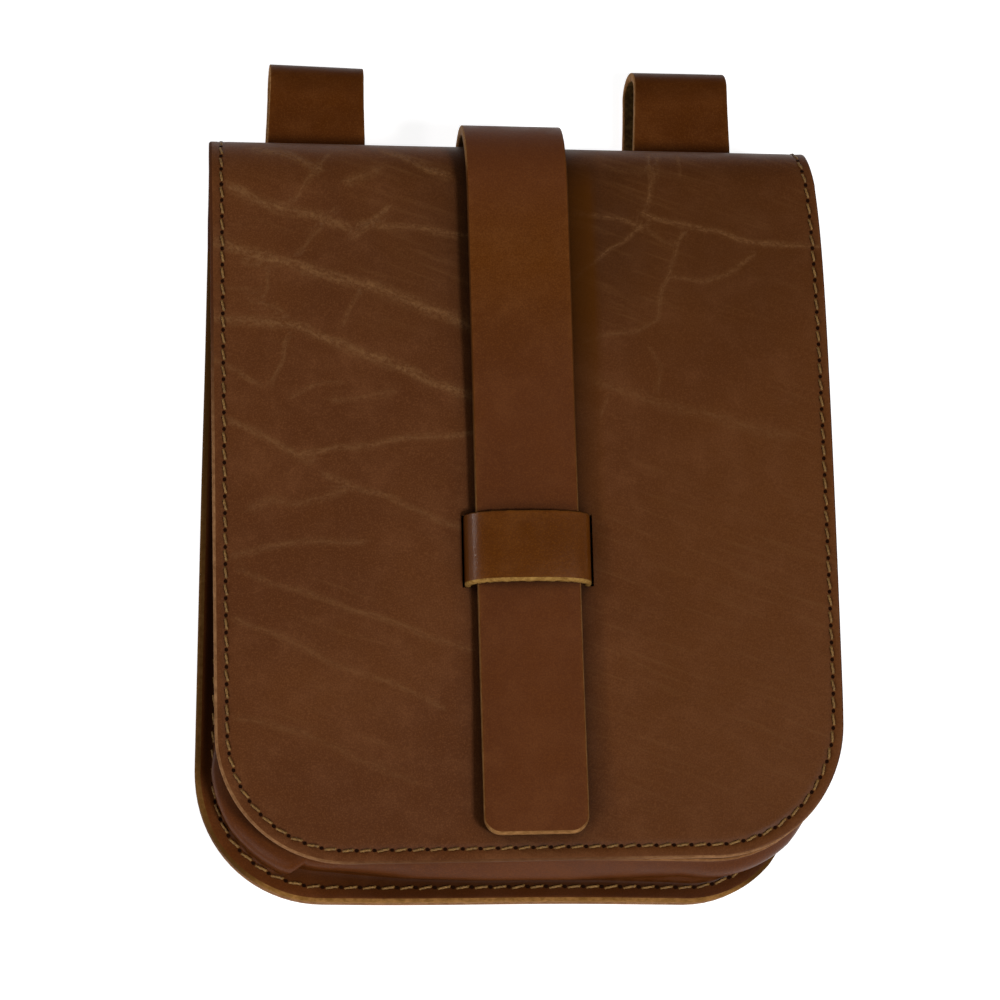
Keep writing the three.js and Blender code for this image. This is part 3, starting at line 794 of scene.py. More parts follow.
# The loops' last colour is the near black of their painted shade
LOOP_SET = [
    grain_leather("loop_grain", tint(80, 38, 4), tint(94, 48, 9), tint(108, 61, 20), tint(38, 17, 4)),
    flesh,
    strap_edge,
]
STITCH_SET = [waxed_thread(), awl_hole_shade()]


def settle(piece, slot, *nodes):
    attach(piece, "root")
    if nodes:
        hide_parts(*nodes)


# Back panel, fold and flap in one sheet, rows from the flap's bottom edge over the fold to the back's


FLAP_CORNER_STEPS, BELOW_SLIT_ROWS, SLIT_ROWS, ABOVE_SLIT_ROWS = 26, 36, 21, 86
FOLD_STEPS, BACK_ROWS, BACK_CORNER_STEPS = 28, 38, 20
SIDE_COLUMNS, CLEAR_COLUMNS, MIDDLE_COLUMNS, SLIT_CLEAR = 55, 5, 28, 24.0

# Height that parts the flap's cut edge from the back's
FLAP_ABOVE = 14.0


def flap_columns(width):
    """Points across from -width to width, with columns along the keeper's slits."""
    slit = KEEPER_HALF - KEEPER_HIDE / 2
    near, far = slit - SLIT_IN, slit + SLIT_OUT
    right = np.concatenate([[near, slit, far], np.linspace(far, SLIT_CLEAR, CLEAR_COLUMNS)[1:]])
    middle = np.linspace(-near, near, MIDDLE_COLUMNS)[1:-1]
    inner = np.concatenate([-right[::-1], middle, right]) + strap_x(KEEPER_Y)
    left_side = np.linspace(-width, inner[0], SIDE_COLUMNS)[:-1]
    right_side = np.linspace(inner[-1], width, SIDE_COLUMNS)[1:]
    return np.concatenate([left_side, inner, right_side])


def flap_tone(out, place):
    """How pale the cut edge is: soft along the flap, palest at its bottom corners, tan under the back. Edges
    facing left are paler as painted light, and edges facing right stay dark as painted shade.
    """
    left, low = smoothstep(-out[:, 0], 0.3, 0.9), smoothstep(-out[:, 1], 0.2, 0.8)
    corner = 0.4 * smoothstep(place[:, 0], 20, 60) + 0.45 * smoothstep(-place[:, 0], 35, 60)
    # Painted light: the paleness of left-facing edges, strongest lower down
    paler_edge = lerp(0.75, 0.1, smoothstep(place[:, 1], 110, 175))
    flap = np.maximum(paler_edge * left, low * (0.3 + corner))
    back = np.maximum(0.4 * left * smoothstep(place[:, 1], 150, 90), 0.75 * low)
    return np.where(place[:, 2] > FLAP_ABOVE, flap, back)


def flap_rim(out):
    left = 0.3 * smoothstep(-out[:, 0], 0.5, 0.95)
    return lerp(0.6, 0.35, smoothstep(out[:, 0], -0.2, 0.6)) + left


def flap_marks(x, v):
    """Creases, the painted strap shadow, the olive tint and the painted shade at places x across the leather
    and v along it.
    """
    marks = crease_marks(x, np.where(v > FOLD_START, FOLD_START + (v - FOLD_START) * 0.8, v))
    marks["crease"] *= smoothstep(v, FOLD_START + 34, FOLD_START + 20)
    # Painted shadow of the strap: olive darkening beside its right edge, stronger higher up, and an olive
    # tint over the right half
    beside = x - strap_x(v) - STRAP_WIDTH / 2
    shade_and_tone = smoothstep(beside, STRAP_SHADOW_REACH, STRAP_SHADOW_REACH - 3.5) * smoothstep(beside, -12, -8)
    shade_and_tone *= STRAP_SHADOW_PAINT * (0.4 * smoothstep(v, 50, 110) + 0.6 * smoothstep(v, 130, 175))
    shade_and_tone = np.maximum(shade_and_tone, RIGHT_OLIVE_TINT * smoothstep(x, 5, 45))
    marks["shade_and_tone"] = shade_and_tone * smoothstep(v, FOLD_START + 12, FOLD_START - 4)
    # Painted shade below the fold, strongest around the strap, fading out on the fold
    shade = SHADE * np.interp(x, *zip(*SHADE_ACROSS)) * smoothstep(v, 140, 194)
    marks["shade"] = shade * smoothstep(v, FOLD_START + 15, FOLD_START + 3)
    return marks


def slit_cells(x, v):
    """The cells of the grid that the keeper's two slits cut out."""
    cell_x = (x[:-1, :-1] + x[1:, 1:]) / 2
    cell_v = (v[:-1, :-1] + v[1:, 1:]) / 2
    beyond = np.abs(cell_x - strap_x(KEEPER_Y)) - (KEEPER_HALF - KEEPER_HIDE / 2)
    return (beyond > -SLIT_IN) & (beyond < SLIT_OUT) & (np.abs(cell_v - KEEPER_Y) < SLIT_LENGTH / 2)


def back_flap():
    half = BACK_HIDE / 2
    rows = []

    def flap_row(y, width):
        even = flap_columns(width)
        x = tucked(even, width, flap_tuck(y))
        n = height_normal(flap_top, x, y)
        p = turned(points(x, y, flap_top(x, y))) - n * half
        distance = corner_distance(even, y, flap_half(y), FLAP_LOW_Y, FLAP_CORNER)
        rows.append((p, n, even, y, distance + seam_shift(even, y)))

    def back_row(y, width):
        x = flap_columns(width)
        set_x, set_y = back_set(back_centre(y) + x, y)
        p = points(set_x, set_y, back_under(set_y) + half)
        distance = corner_distance(x, y, back_half(y), 0.0, BACK_CORNER)
        rows.append((p, BACK_DOWN, x, run[-1] + FOLD_START - y, distance))

    low_y, radius = FLAP_LOW_Y + FLAP_RIM, FLAP_CORNER - FLAP_RIM
    slit_low, slit_high = KEEPER_Y - SLIT_LENGTH / 2, KEEPER_Y + SLIT_LENGTH / 2
    for along, in_by in rounded_end(radius, FLAP_CORNER_STEPS):
        flap_row(low_y + along, flap_half(low_y + along) - FLAP_RIM - in_by)
    straight = [
        np.linspace(low_y + radius, slit_low, BELOW_SLIT_ROWS)[1:],
        np.linspace(slit_low, slit_high, SLIT_ROWS)[1:],
        np.linspace(slit_high, FOLD_START, ABOVE_SLIT_ROWS)[1:-1],
    ]
    for y in np.concatenate(straight):
        flap_row(y, flap_half(y) - FLAP_RIM)
    width = FOLD_WIDTH / 2 - FLAP_RIM
    even = flap_columns(width)
    stations = flap_fold(FOLD_STEPS)
    run = stations[-1]
    for t, y, z, n, v in zip(*stations):
        x = tucked(even, width, fold_tuck(t * math.pi))
        p = turned(points(x, y, z), smoothstep(t, 0.5, 1))
        rows.append((p, n, even, v, FOLD_WIDTH / 2 - np.abs(even) + t * seam_shift(even, y)))
    for y in np.linspace(FOLD_START, BACK_CORNER, BACK_ROWS)[1:-1]:
        back_row(y, back_half(y) - FLAP_RIM)
    for along, in_by in rounded_end(BACK_CORNER - FLAP_RIM, BACK_CORNER_STEPS)[::-1]:
        y = FLAP_RIM + along
        back_row(y, back_half(y) - FLAP_RIM - in_by)

    grid, normal, x, v, inset = stacked(rows)
    marks = flap_marks(x, v)
    relief = CREASE_DEPTH * marks["crease"] + SEAM_DEPTH * np.exp(-((inset - STITCH_INSET) ** 2))
    return leather_sheet(
        "flap_sheet", grid, BACK_HIDE, FLAP_SET, inset, flap_tone, FLAP_RIM,
        normal=normal, rim_of=flap_rim, relief=relief, marks=marks, holes=slit_cells(x, v),
    )


settle(back_flap(), "flap_leather", "back_flap")


# Front panel

FRONT_CORNER_STEPS, FRONT_ROWS, FRONT_COLUMNS = 14, 54, 61


def front_level(x, y):
    """The panel's bottom edge stays level with the back instead of turning with the flap."""
    return y - math.sin(FLAP_TURN) * x * (1 - smoothstep(y, FRONT_LEVEL_FROM, FRONT_LEVEL_TO))


def front_top(x, y):
    gap = lerp(FRONT_GAP_EDGE, FRONT_GAP_KEEPER, smoothstep(y, FRONT_GAP_FROM, FRONT_GAP_TO))
    return flap_top(x, y) - BACK_HIDE - gap


def front_panel():
    rim = FRONT_EDGE_RIM
    low_y, radius = FRONT_LOW_Y + rim, FRONT_CORNER - rim
    rows = [(low_y + along, in_by) for along, in_by in rounded_end(radius, FRONT_CORNER_STEPS)]
    rows += [(y, 0.0) for y in np.linspace(low_y + radius, FRONT_TOP_Y - rim, FRONT_ROWS)[1:]]
    y, in_by = (np.array(column)[:, None] for column in zip(*rows))
    x = (FRONT_HALF - rim - in_by) * np.linspace(-1, 1, FRONT_COLUMNS)
    y = np.broadcast_to(y, x.shape)
    level = front_level(x, y)
    n = height_normal(front_top, x, level)
    grid = turned(points(x, level, front_top(x, level))) - n * FRONT_HIDE / 2
    inset = corner_distance(x, y, FRONT_HALF, FRONT_LOW_Y, FRONT_CORNER)

    def tone(out, place):
        return lerp(0.1, 0.7, smoothstep(place[:, 0], 10, 50))

    return leather_sheet("front_sheet", grid, FRONT_HIDE, FRONT_SET, inset, tone, rim, normal=n)


settle(front_panel(), "flap_leather", "front_panel")


# Gusset


def gusset_stations():
    side, turn, bottom = GUSSET_COUNTS
    return np.concatenate([
        np.linspace(0, 1, side + 1)[:-1],
        np.linspace(1, 2, turn + 1),
        np.linspace(2, 3, bottom + 1)[1:-1],
        np.linspace(3, 4, turn + 1),
        np.linspace(4, 5, side + 1)[1:],
    ])


def gusset_back_row(inset, raised):
    x, y = back_set(*back_edge(inset, GUSSET_COUNTS))
    return points(x, y, back_under(y) + BACK_HIDE + SEAM + GUSSET_HIDE / 2 + raised)


def gusset_front_row(inset, lowered):
    x, y = front_edge(inset, GUSSET_COUNTS)
    level = front_level(x, y)
    under = front_top(x, level) - FRONT_HIDE
    return turned(points(x, level, under - SEAM - GUSSET_HIDE / 2 - lowered))


def gusset_tone(out, place):
    side = 0.25 * smoothstep(-out[:, 0], 0.85, 0.98) * smoothstep(place[:, 1], 150, 90)
    return 0.15 + 0.65 * smoothstep(-out[:, 1], 0.75, 0.95) + side


def gusset_painted_shade(stations, count):
    """Painted shade in the groove along the left side, and on the flange along the bottom."""
    row = np.arange(count)[:, None]
    on_flange = smoothstep(row, FLANGE_ROWS + 4, FLANGE_ROWS)
    in_groove = smoothstep(row, 1, 5)
    left_side = 1 - smoothstep(stations, 0.8, 1.3)
    bottom = smoothstep(stations, 1.85, 2.2) * smoothstep(stations, 3.4, 2.9)
    return np.maximum(0.9 * left_side * in_groove, 0.45 * bottom * on_flange)


def gusset():
    foot_inset = BACK_FLANGE + GUSSET_BEND
    foot = gusset_back_row(foot_inset, GUSSET_BEND)
    head = gusset_front_row(FRONT_RIM, GUSSET_BEND)
    outward = gusset_back_row(foot_inset - 1, GUSSET_BEND) - foot
    outward[:, 2] = 0
    outward = unit(outward)
    stations = gusset_stations()
    stops, *bulges = zip(*GUSSET_BULGES)
    wall = [
        lerp(foot, head, share) + outward * np.interp(stations, stops, bulge)[:, None]
        for share, bulge in zip(WALL_SHARES, bulges)
    ]
    control = [
        gusset_back_row(GUSSET_RIM, 0),
        gusset_back_row(BACK_FLANGE / 2, 0),
        gusset_back_row(BACK_FLANGE, 0) + wall[0] - foot,
        *wall,
        head,
        gusset_front_row(FRONT_RIM + GUSSET_BEND, 0),
        gusset_front_row(FRONT_FLANGE, 0),
    ]
    grid = smooth_rows(control, GUSSET_STEPS)
    depth = np.concatenate([[0], np.cumsum(np.linalg.norm(np.diff(grid[:, 0], axis=0), axis=1))])
    inset = np.broadcast_to((depth + GUSSET_RIM)[:, None], grid.shape[:2])

    def rim_of(out):
        return lerp(1.1, GUSSET_RIM, smoothstep(-out[:, 0], 0.85, 0.98))

    return leather_sheet(
        "gusset_strip", grid, GUSSET_HIDE, GUSSET_SET, inset, gusset_tone, GUSSET_RIM,
        rim_of=rim_of, marks={"shade_and_tone": gusset_painted_shade(stations, len(grid))},
    )


settle(gusset(), "gusset_leather", "gusset")


# Strap

STRAP_COLUMNS, STRAP_END_STEPS, STRAP_ROWS, STRAP_FOLD_STEPS, STRAP_TAIL_ROWS = 25, 10, 130, 30, 18


def strap_lift(y):
    arch = STRAP_FOLD_LIFT * smoothstep(y, STRAP_FADE_Y, FOLD_START)
    end = STRAP_END_LIFT * smoothstep(y, STRAP_END_FADE, STRAP_END_Y)
    return SEAM + STRAP_HIDE / 2 + arch + end + STRAP_SLACK * smoothstep(y, 200, 150)


def strap_height(x, y):
    return flap_top(x, y) + strap_lift(y)


def strap_tone(out, place):
    side = lerp(0.5, 0.12, smoothstep(place[:, 1], 100, 150))
    side = np.maximum(side, 0.75 * smoothstep(-out[:, 0], 0.3, 0.8) * smoothstep(place[:, 1], 205, 216))
    return np.maximum(side, 0.85 * smoothstep(-out[:, 1], 0.3, 0.8))


def strap():
    rim, half = STRAP_RIM, STRAP_HIDE / 2
    across = np.linspace(-1, 1, STRAP_COLUMNS)
    width = STRAP_WIDTH / 2 - rim
    even = across * width
    side = STRAP_WIDTH / 2 - np.abs(even)
    rows = []

    def flap_row(y, in_by):
        u = across * (width - in_by)
        x = strap_x(y) + u
        p = turned(points(x, y, strap_height(x, y) - STRAP_CROWN * (u / width) ** 4))
        distance = np.minimum(STRAP_WIDTH / 2 - np.abs(u), y - STRAP_END_Y)
        rows.append((p, height_normal(strap_height, x, y), u, y, distance))

    end_y, radius = STRAP_END_Y + rim, STRAP_END_CORNER - rim
    for along, in_by in rounded_end(radius, STRAP_END_STEPS):
        flap_row(end_y + along, in_by)
    for y in np.linspace(end_y + radius, FOLD_START, STRAP_ROWS)[1:-1]:
        flap_row(y, 0.0)
    low = back_under(FOLD_START) - SEAM - half
    high = FLAP_TOP_Z + strap_lift(FOLD_START)
    stations = fold_stations(low, high, STRAP_ARCH - half, STRAP_FOLD_STEPS)
    for t, y, z, n, v in zip(*stations):
        x = lerp(STRAP_REAR_SHIFT, 0, smoothstep(t, 0, 1)) + STRAP_TOP_X
        p = turned(points(x + even, y, z), smoothstep(t, 0.5, 1))
        rows.append((p, n, even, v, side))
    for y in np.linspace(FOLD_START, STRAP_TAIL_Y + rim, STRAP_TAIL_ROWS)[1:]:
        p = points(STRAP_REAR_X + even, y, back_under(y) - SEAM - half)
        v = stations[-1][-1] + FOLD_START - y
        rows.append((p, BACK_DOWN, even, v, np.minimum(side, y - STRAP_TAIL_Y)))

    def rim_of(out):
        return lerp(0.35, rim, smoothstep(-out[:, 1], 0.3, 0.8))

    grid, normal, _, v, inset = stacked(rows)
    # Painted shade and sheen over the fold, and a redder tone low on the strap
    shade_and_tone = 0.3 * smoothstep(v, 190, 130) + 0.42 * smoothstep(v, FOLD_START - 26, FOLD_START + 14)
    return leather_sheet(
        "strap_strip", grid, STRAP_HIDE, STRAP_SET, inset, strap_tone, rim,
        normal=normal, rim_of=rim_of, marks={"shade_and_tone": shade_and_tone}, fray=0.04,
    )


settle(strap(), "strap_leather", "strap")


# Keeper: a band through the flap's slits, its ends meeting under the flap

KEEPER_COLUMNS, KEEPER_END_ROWS, KEEPER_BEND_STEPS, KEEPER_LEG_ROWS, KEEPER_ARCH_STEPS = 19, 12, 6, 4, 22


def flap_frame(x, y):
    """Directions across, up and out of the flap at a place, and the place itself."""
    def point(dx, dy):
        return turned(points(x + dx, y + dy, flap_top(x + dx, y + dy)))

    across = unit(point(1, 0) - point(-1, 0))
    up = unit(point(0, 1) - point(0, -1))
    out = unit(np.cross(across, up))
    return np.cross(up, out), up, out, point(0, 0)


def bezier(p0, p1, p2, p3, steps):
    t = np.linspace(0, 1, steps + 1)[:, None]
    p0, p1, p2, p3 = (np.array(p, float) for p in (p0, p1, p2, p3))
    return (1 - t) ** 3 * p0 + 3 * (1 - t) ** 2 * t * p1 + 3 * (1 - t) * t**2 * p2 + t**3 * p3


def keeper_path(wide, high, low):
    """The band's middle line: from under the flap's middle, round its right and left side and back there."""
    bend = KEEPER_BEND
    turn = bend * 0.45
    shoulder = KEEPER_SHOULDER
    end_x = np.linspace(KEEPER_END_GAP, wide - bend, KEEPER_END_ROWS)
    leg_y = np.linspace(low + bend, 0, KEEPER_LEG_ROWS + 1)[1:]
    corner = (wide - bend, low), (wide - turn, low), (wide, low + turn), (wide, low + bend)
    arch = (wide, 0), (wide, high * shoulder), (wide * shoulder, high), (0, high)
    right = np.concatenate([
        np.stack([end_x, np.full(KEEPER_END_ROWS, low)], axis=-1),
        bezier(*corner, KEEPER_BEND_STEPS)[1:],
        np.stack([np.full(KEEPER_LEG_ROWS, wide), leg_y], axis=-1),
        bezier(*arch, KEEPER_ARCH_STEPS)[1:],
    ])
    return np.concatenate([right, right[-2::-1] * np.array([-1, 1])])


def keeper():
    half = KEEPER_HIDE / 2
    wide, high = KEEPER_HALF - half, KEEPER_ARCH - half
    path = keeper_path(wide, high, -BACK_HIDE - SEAM - half)
    end = KEEPER_LENGTH / 2 - KEEPER_RIM
    along = np.linspace(-end, end, KEEPER_COLUMNS)
    share = along / along[-1]
    top = np.maximum(path[:, 1], 0)[:, None] / high
    swell = 1 + KEEPER_SWELL * top * (1 - share**2)
    bow = KEEPER_BOW * np.where(path[:, 1] > 0, (path[:, 0] / wide) ** 2, 1.0)[:, None]
    length = along + np.where(share > 0, -bow * share, -(KEEPER_BOW - bow) * share)
    side, up, out, origin = flap_frame(strap_x(KEEPER_Y), KEEPER_Y)
    grid = origin + path[:, 0, None, None] * side + length[..., None] * up
    grid = grid + (path[:, 1, None] * swell)[..., None] * out
    inset = np.broadcast_to(KEEPER_LENGTH / 2 - np.abs(along), grid.shape[:2])

    def lower(out):
        return smoothstep(-out[:, 1], 0.3, 0.8)

    return leather_sheet(
        "keeper_band", grid, KEEPER_HIDE, KEEPER_SET, inset,
        lambda out, place: 0.1 + 0.8 * lower(out), KEEPER_RIM,
        rim_of=lambda out: lerp(0.35, KEEPER_RIM, lower(out)), fray=0.13,
    )


settle(keeper(), "strap_leather", "keeper")


# Belt loops

LOOP_ROWS, LOOP_BEND_ROWS, LOOP_COLUMNS = 50, 22, 25


def loop_front(y):
    return back_under(y) - SEAM - LOOP_HIDE / 2


def loop_rear(y):
    return lerp(loop_front(y) - LOOP_HIDE - SEAM, LOOP_HIDE / 2, smoothstep(y, LOOP_SEWN_END, LOOP_FLOOR_Y))


def loop_tone(out, place):
    # Painted light: cut edges that face left are paler
    return 0.3 + 0.5 * smoothstep(-out[:, 0], 0.3, 0.9)


def belt_loop(side, x, rear_shift, lean, drop):
    rim, half = LOOP_RIM, LOOP_HIDE / 2
    radius = (loop_front(LOOP_BEND_Y) - half) / 2
    front_y = np.linspace(LOOP_SEWN_Y + rim, LOOP_BEND_Y, LOOP_ROWS)
    angle = np.linspace(0, math.pi, LOOP_BEND_ROWS)[1:-1]
    rear_y = front_y[::-1]
    y = np.concatenate([front_y, LOOP_BEND_Y + radius * np.sin(angle), rear_y])[:, None]
    z = np.concatenate([loop_front(front_y), half + radius * (1 + np.cos(angle)), loop_rear(rear_y)])[:, None]
    share = np.concatenate([0 * front_y, (1 - np.cos(angle)) / 2, 1 + 0 * rear_y])[:, None]
    free = smoothstep(y, LOOP_SEWN_END, LOOP_FLOOR_Y)
    stand = smoothstep(y, FOLD_TOP - 15, LOOP_BEND_Y)
    wide = 1 + LOOP_FLARE * smoothstep(y, LOOP_BEND_Y, FOLD_TOP) * free
    u = np.linspace(-LOOP_WIDTH / 2 + rim, LOOP_WIDTH / 2 - rim, LOOP_COLUMNS)
    grid = points(x + rear_shift * share * free + u * wide, y + (lean * u - drop) * stand, z)
    inset = np.broadcast_to(LOOP_WIDTH / 2 - np.abs(u), grid.shape[:2])
    # Painted shade near the fold and at the bend of the loop
    near_fold = smoothstep(y, FOLD_TOP + 10, FOLD_TOP - 4)
    near_bend = smoothstep(y, LOOP_BEND_Y - 6, LOOP_BEND_Y)
    shade_and_tone = np.broadcast_to(0.55 * near_fold + 0.3 * near_bend, grid.shape[:2])
    return leather_sheet(
        f"loop_strip_{side}", grid, LOOP_HIDE, LOOP_SET, inset, loop_tone, rim,
        rim_of=lambda out: np.full(len(out), 0.35), marks={"shade_and_tone": shade_and_tone}, fray=0.04,
    )


for side, loop in LOOPS.items():
    settle(belt_loop(side, **loop), "loop_leather", f"belt_loop_{side}")


# Stitches: waxed thread lying between awl holes


def resampled(p, n, pitch):
    """Points and normals every pitch along a path of them."""
    run = np.concatenate([[0], np.cumsum(np.linalg.norm(np.diff(p, axis=0), axis=1))])
    stops = np.linspace(0, run[-1], max(2, round(run[-1] / pitch)) + 1)
    place = np.stack([np.interp(stops, run, p[:, k]) for k in range(3)], axis=-1)
    facing = unit(np.stack([np.interp(stops, run, n[:, k]) for k in range(3)], axis=-1))
    return place, facing


def stitch_mesh(start, end, up, wobble):
    """One stitch as a two-ply thread that dives into the holes at its ends."""
    along = end - start
    side = unit(np.cross(up, along))
    t = np.linspace(0, 1, THREAD_RINGS)
    lift = STITCH_RISE - (STITCH_RISE + STITCH_SINK) * np.abs(2 * t - 1) ** 5
    sway = STITCH_SLANT * (1 + STITCH_WOBBLE * wobble) * (2 * t - 1)
    line = start + (STITCH_FROM + STITCH_SPAN * t)[:, None] * along
    line = line + lift[:, None] * up + sway[:, None] * side
    angle = np.linspace(0, 2 * math.pi, THREAD_SIDES, endpoint=False)
    ring = np.cos(angle)[:, None] * side + np.sin(angle)[:, None] * up
    verts = []
    for k, centre in enumerate(line):
        radius = THREAD_RADIUS * (1 + PLY_DEPTH * np.cos(2 * (angle - PLY_TWIST * k)))
        verts.append(centre + radius[:, None] * ring)
    faces = []
    for k in range(THREAD_RINGS - 1):
        for j in range(THREAD_SIDES):
            a, b = k * THREAD_SIDES + j, k * THREAD_SIDES + (j + 1) % THREAD_SIDES
            faces.append([a, b, b + THREAD_SIDES, a + THREAD_SIDES])
    faces.append(list(range(THREAD_SIDES))[::-1])
    faces.append([(THREAD_RINGS - 1) * THREAD_SIDES + j for j in range(THREAD_SIDES)])
    return np.concatenate(verts), faces


def hole_mesh(place, up, forward):
    """A small dished plug that shows as the awl hole, coloured near black as its painted shade."""
    side = unit(np.cross(up, forward))
    angle = np.linspace(0, 2 * math.pi, HOLE_SIDES, endpoint=False)
    ring = np.cos(angle)[:, None] * side * HOLE_SQUEEZE + np.sin(angle)[:, None] * forward
    rim = place + HOLE_RADIUS * ring + HOLE_LIP * up
    root = place + HOLE_TAPER * HOLE_RADIUS * ring - HOLE_DEPTH * up
    verts = np.concatenate([rim, root, [place + HOLE_DISH * up], [place - HOLE_DEPTH * up]])
    faces = []
    for j in range(HOLE_SIDES):
        nxt = (j + 1) % HOLE_SIDES
        faces.append([j, nxt, 2 * HOLE_SIDES])
        faces.append([j + HOLE_SIDES, nxt + HOLE_SIDES, nxt, j])
        faces.append([nxt + HOLE_SIDES, j + HOLE_SIDES, 2 * HOLE_SIDES + 1])
    return verts, faces


def stitches(name, paths, pitch=STITCH_PITCH):
    draw = np.random.default_rng(11)
    verts, faces, kinds, total = [], [], [], 0

    def take(made, made_faces, kind):
        nonlocal total
        verts.append(made)
        faces.extend([[i + total for i in f] for f in made_faces])
        kinds.extend([kind] * len(made_faces))
        total += len(made)

    for path in paths:
        place, up = resampled(*path, pitch)
        for k in range(len(place) - 1):
            forward = unit(place[k + 1] - place[k])
            take(*stitch_mesh(place[k], place[k + 1], unit(up[k] + up[k + 1]), draw.uniform(-1, 1)), 0)
            take(*hole_mesh(place[k], up[k], forward), 1)
        take(*hole_mesh(place[-1], up[-1], forward), 1)
    settle(new_object(name, np.concatenate(verts), faces, kinds, STITCH_SET, {}), "thread")


def flap_seam():
    """The seam round the flap, from its left end at the fold, down, round the bottom and up to the fold."""
    x, y = panel_edge(
        flap_half, lambda y: 0 * y, FLAP_LOW_Y, FLAP_CORNER, STITCH_INSET, FLAP_SEAM_COUNTS, FOLD_START,
    )
    x = tucked(x, flap_half(y), flap_tuck(y))
    x = x + seam_shift(x, y)
    n = height_normal(flap_top, x, y)
    return turned(points(x, y, flap_top(x, y))) - SEAM_DEPTH * n, n


def fold_seam(sign):
    """The seam over one end of the fold, from the flap to the back."""
    t, y, z, n, _ = flap_fold(FOLD_SEAM_STEPS)
    tuck = fold_tuck(t * math.pi) if sign > 0 else 0 * t
    x = sign * (FOLD_WIDTH / 2 - STITCH_INSET - tuck)
    x = x + t * seam_shift(x, FOLD_TOP)
    return turned(points(x, y, z), smoothstep(t, 0.5, 1)) + n * (BACK_HIDE / 2 - SEAM_DEPTH), n


def back_seam():
    x, y = back_edge(STITCH_INSET, SEAM_COUNTS)
    top_y = np.linspace(FOLD_START, GUSSET_TOP, 6)[:-1]
    left = back_centre(top_y) - back_half(top_y) + STITCH_INSET
    right = back_centre(top_y) + back_half(top_y) - STITCH_INSET
    x, y = back_set(np.concatenate([left, x, right[::-1]]), np.concatenate([top_y, y, top_y[::-1]]))
    z = np.maximum(back_under(y) + SEAM_DEPTH, LEAST_STITCH_Z)
    return points(x, y, z), np.broadcast_to(BACK_DOWN, (len(x), 3))


def flange_seam():
    """The seam on the gusset's flange, further in along the left side than round the bottom."""
    outer = np.stack(back_edge(FLANGE_STITCH_INSET, SEAM_COUNTS))
    inner = np.stack(back_edge(FLANGE_STITCH_SIDE, SEAM_COUNTS))
    side = np.where(outer[0] < 0, smoothstep(outer[1], 16, 38), 0)
    x, y = back_set(*lerp(outer, inner, side))
    z = back_under(y) + BACK_HIDE + SEAM + GUSSET_HIDE
    return points(x, y, z), np.broadcast_to(-BACK_DOWN, (len(x), 3))


def front_seam():
    x, y = front_edge(FRONT_STITCH_INSET, SEAM_COUNTS)
    level = front_level(x, y)
    return turned(points(x, level, front_top(x, level))), height_normal(front_top, x, level)


def rectangle_seam(x, half, y_low, y_high, height):
    """A sewn rectangle under the back, at the given height for each y."""
    left, right = x - half, x + half
    corners = [(left, y_low), (right, y_low), (right, y_high), (left, y_high), (left, y_low)]
    t = np.linspace(0, 1, 13)[:-1, None]
    run = [lerp(np.array(a), np.array(b), t) for a, b in zip(corners, corners[1:])]
    run = np.concatenate(run + [np.array(corners[:1])])
    return points(run[:, 0], run[:, 1], height(run[:, 1])), np.broadcast_to(BACK_DOWN, (len(run), 3))


# Sewn rectangles: half width, and distances of the lower and upper seam from the piece's ends
TAIL_SEAM_HALF, TAIL_SEAM_LOW, TAIL_SEAM_HIGH = 11, 4, 24
LOOP_SEAM_HALF, LOOP_SEAM_LOW, LOOP_SEAM_HIGH = 10.5, 3.5, 2.5

tail_seams = [rectangle_seam(
    STRAP_REAR_X, TAIL_SEAM_HALF, STRAP_TAIL_Y + TAIL_SEAM_LOW, STRAP_TAIL_Y + TAIL_SEAM_HIGH,
    lambda y: back_under(y) - SEAM - STRAP_HIDE,
)]
for loop in LOOPS.values():
    tail_seams.append(rectangle_seam(
        loop["x"], LOOP_SEAM_HALF, LOOP_SEWN_Y + LOOP_SEAM_LOW, LOOP_SEWN_END - LOOP_SEAM_HIGH,
        lambda y: loop_rear(y) - LOOP_HIDE / 2,
    ))
stitches("flap_stitches", [fold_seam(-1), flap_seam(), fold_seam(1)])
stitches("back_stitches", [back_seam()])
stitches("flange_stitches", [flange_seam()], FLANGE_STITCH_PITCH)
stitches("front_stitches", [front_seam()])
stitches("tail_stitches", tail_seams)


# Floor, world, lights and camera

FLOOR_REACH, FLOOR_GLOW = 6.0, 0.9
FLOOR_GREYS = ((0.48, 0.48, 0.48, 1), (0.5, 0.5, 0.5, 1))

# Sky: grey at heights from the horizon to the zenith, and its strength away from and towards one side
SKY_GREYS = [(0.0, 0.7), (0.35, 0.68), (0.75, 0.35), (1.0, 0.1)]
SKY_TOWARD = (0.7, 0.7, 0.0)
SKY_STRENGTH = {"From Min": -0.5, "From Max": 0.8, "To Min": 0.4, "To Max": 0.15}

# Lamps, in metres and watts
LIGHTS = [
    {"name": "key_right", "toward": (0.42, -0.40, 0.81), "distance": 3.0, "size": 0.6, "power": 55.5},
    {"name": "fill_left", "toward": (-0.80, 0.30, 0.52), "distance": 1.3, "size": 0.14, "power": 2.6},
    {"name": "fill_front", "toward": (-0.60, -0.64, 0.48), "distance": 1.4, "size": 0.5, "power": 3.6},
]

# Camera, fitted to the outlines of back, flap and fold
CAMERA_AZIMUTH, CAMERA_ELEVATION, CAMERA_ROLL = (math.radians(a) for a in (-12.72, 71.86, -0.24))
CAMERA_DISTANCE, CAMERA_LENS, CAMERA_SENSOR = 1070.97, 129.775, 36.0
CAMERA_TARGET = np.array([1.128, 121.563, 0.0])
CAMERA_CLIP = (0.05, 20.0)


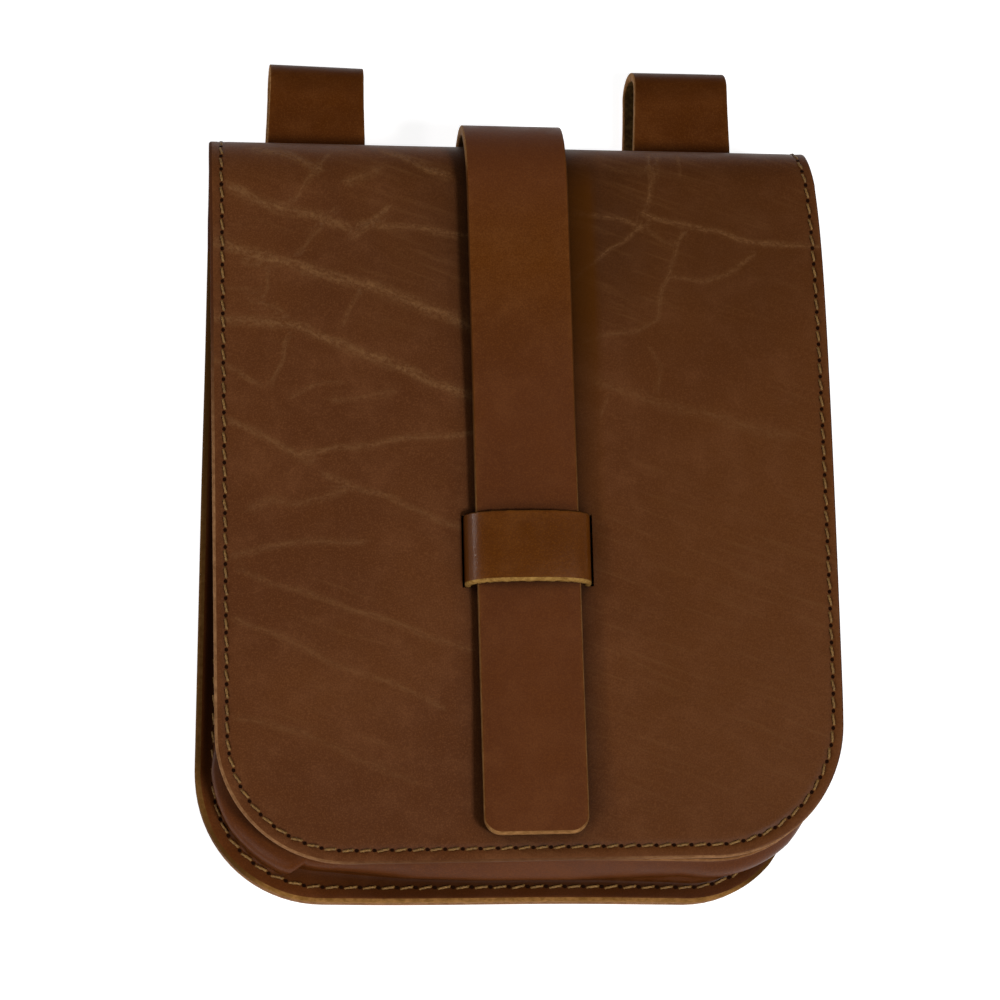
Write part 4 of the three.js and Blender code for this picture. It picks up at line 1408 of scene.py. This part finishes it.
def floor():
    mesh = bpy.data.meshes.new("floor")
    corners = [(-1, -1), (1, -1), (1, 1), (-1, 1)]
    mesh.from_pydata([(FLOOR_REACH * x, FLOOR_REACH * y, 0) for x, y in corners], [], [(0, 1, 2, 3)])
    s = Shader("floor_white", 0.1, 0.9)
    s.set("Base Color", s.mix(s.noise(3, 2), *FLOOR_GREYS))
    s.set("Emission Color", (1, 1, 1, 1))
    s.set("Emission Strength", FLOOR_GLOW)
    mesh.materials.append(s.material)
    link("floor", mesh)


def world():
    made = bpy.data.worlds.new("studio")
    bpy.context.scene.world = made
    made.use_nodes = True
    tree = made.node_tree
    background = tree.nodes["Background"]
    where = tree.nodes.new("ShaderNodeTexCoord").outputs["Generated"]
    split = tree.nodes.new("ShaderNodeSeparateXYZ")
    ramp = tree.nodes.new("ShaderNodeValToRGB")
    stops = ramp.color_ramp.elements
    for position, grey in SKY_GREYS:
        ends = [stop for stop in stops if stop.position == position]
        stop = ends[0] if ends else stops.new(position)
        stop.color = (grey, grey, grey, 1)
    toward = tree.nodes.new("ShaderNodeVectorMath")
    toward.operation = "DOT_PRODUCT"
    toward.inputs[1].default_value = SKY_TOWARD
    strength = tree.nodes.new("ShaderNodeMapRange")
    for key, value in SKY_STRENGTH.items():
        strength.inputs[key].default_value = value
    tree.links.new(where, split.inputs[0])
    tree.links.new(where, toward.inputs[0])
    tree.links.new(toward.outputs["Value"], strength.inputs["Value"])
    tree.links.new(strength.outputs["Result"], background.inputs["Strength"])
    tree.links.new(split.outputs["Z"], ramp.inputs["Fac"])
    tree.links.new(ramp.outputs["Color"], background.inputs["Color"])


def pose(back, upright, place, roll=0.0):
    """The pose of a lamp or camera at place that looks against back, with upright towards its top."""
    right = unit(np.cross(upright, back))
    up = np.cross(back, right)
    c, s = math.cos(roll), math.sin(roll)
    matrix = Matrix(np.column_stack([c * right + s * up, c * up - s * right, back]).tolist()).to_4x4()
    matrix.translation = place
    return matrix


def lights():
    for entry in LIGHTS:
        data = bpy.data.lights.new(entry["name"], "AREA")
        data.shape = "DISK"
        data.size = entry["size"]
        data.energy = entry["power"]
        back = unit(np.array(entry["toward"]))
        link(entry["name"], data).matrix_world = pose(back, [0, 0, 1], back * entry["distance"])


def camera():
    flat = math.cos(CAMERA_ELEVATION)
    x, y = math.sin(CAMERA_AZIMUTH) * flat, -math.cos(CAMERA_AZIMUTH) * flat
    back = np.array([x, y, math.sin(CAMERA_ELEVATION)])
    data = bpy.data.cameras.new("camera")
    data.sensor_width, data.lens = CAMERA_SENSOR, CAMERA_LENS
    data.clip_start, data.clip_end = CAMERA_CLIP
    made = link("camera", data)
    made.matrix_world = pose(back, [0, 1, 0], to_row(CAMERA_TARGET + back * CAMERA_DISTANCE), CAMERA_ROLL)
    bpy.context.scene.camera = made


floor()
world()
lights()
camera()
bpy.context.scene.view_settings.view_transform = "Standard"
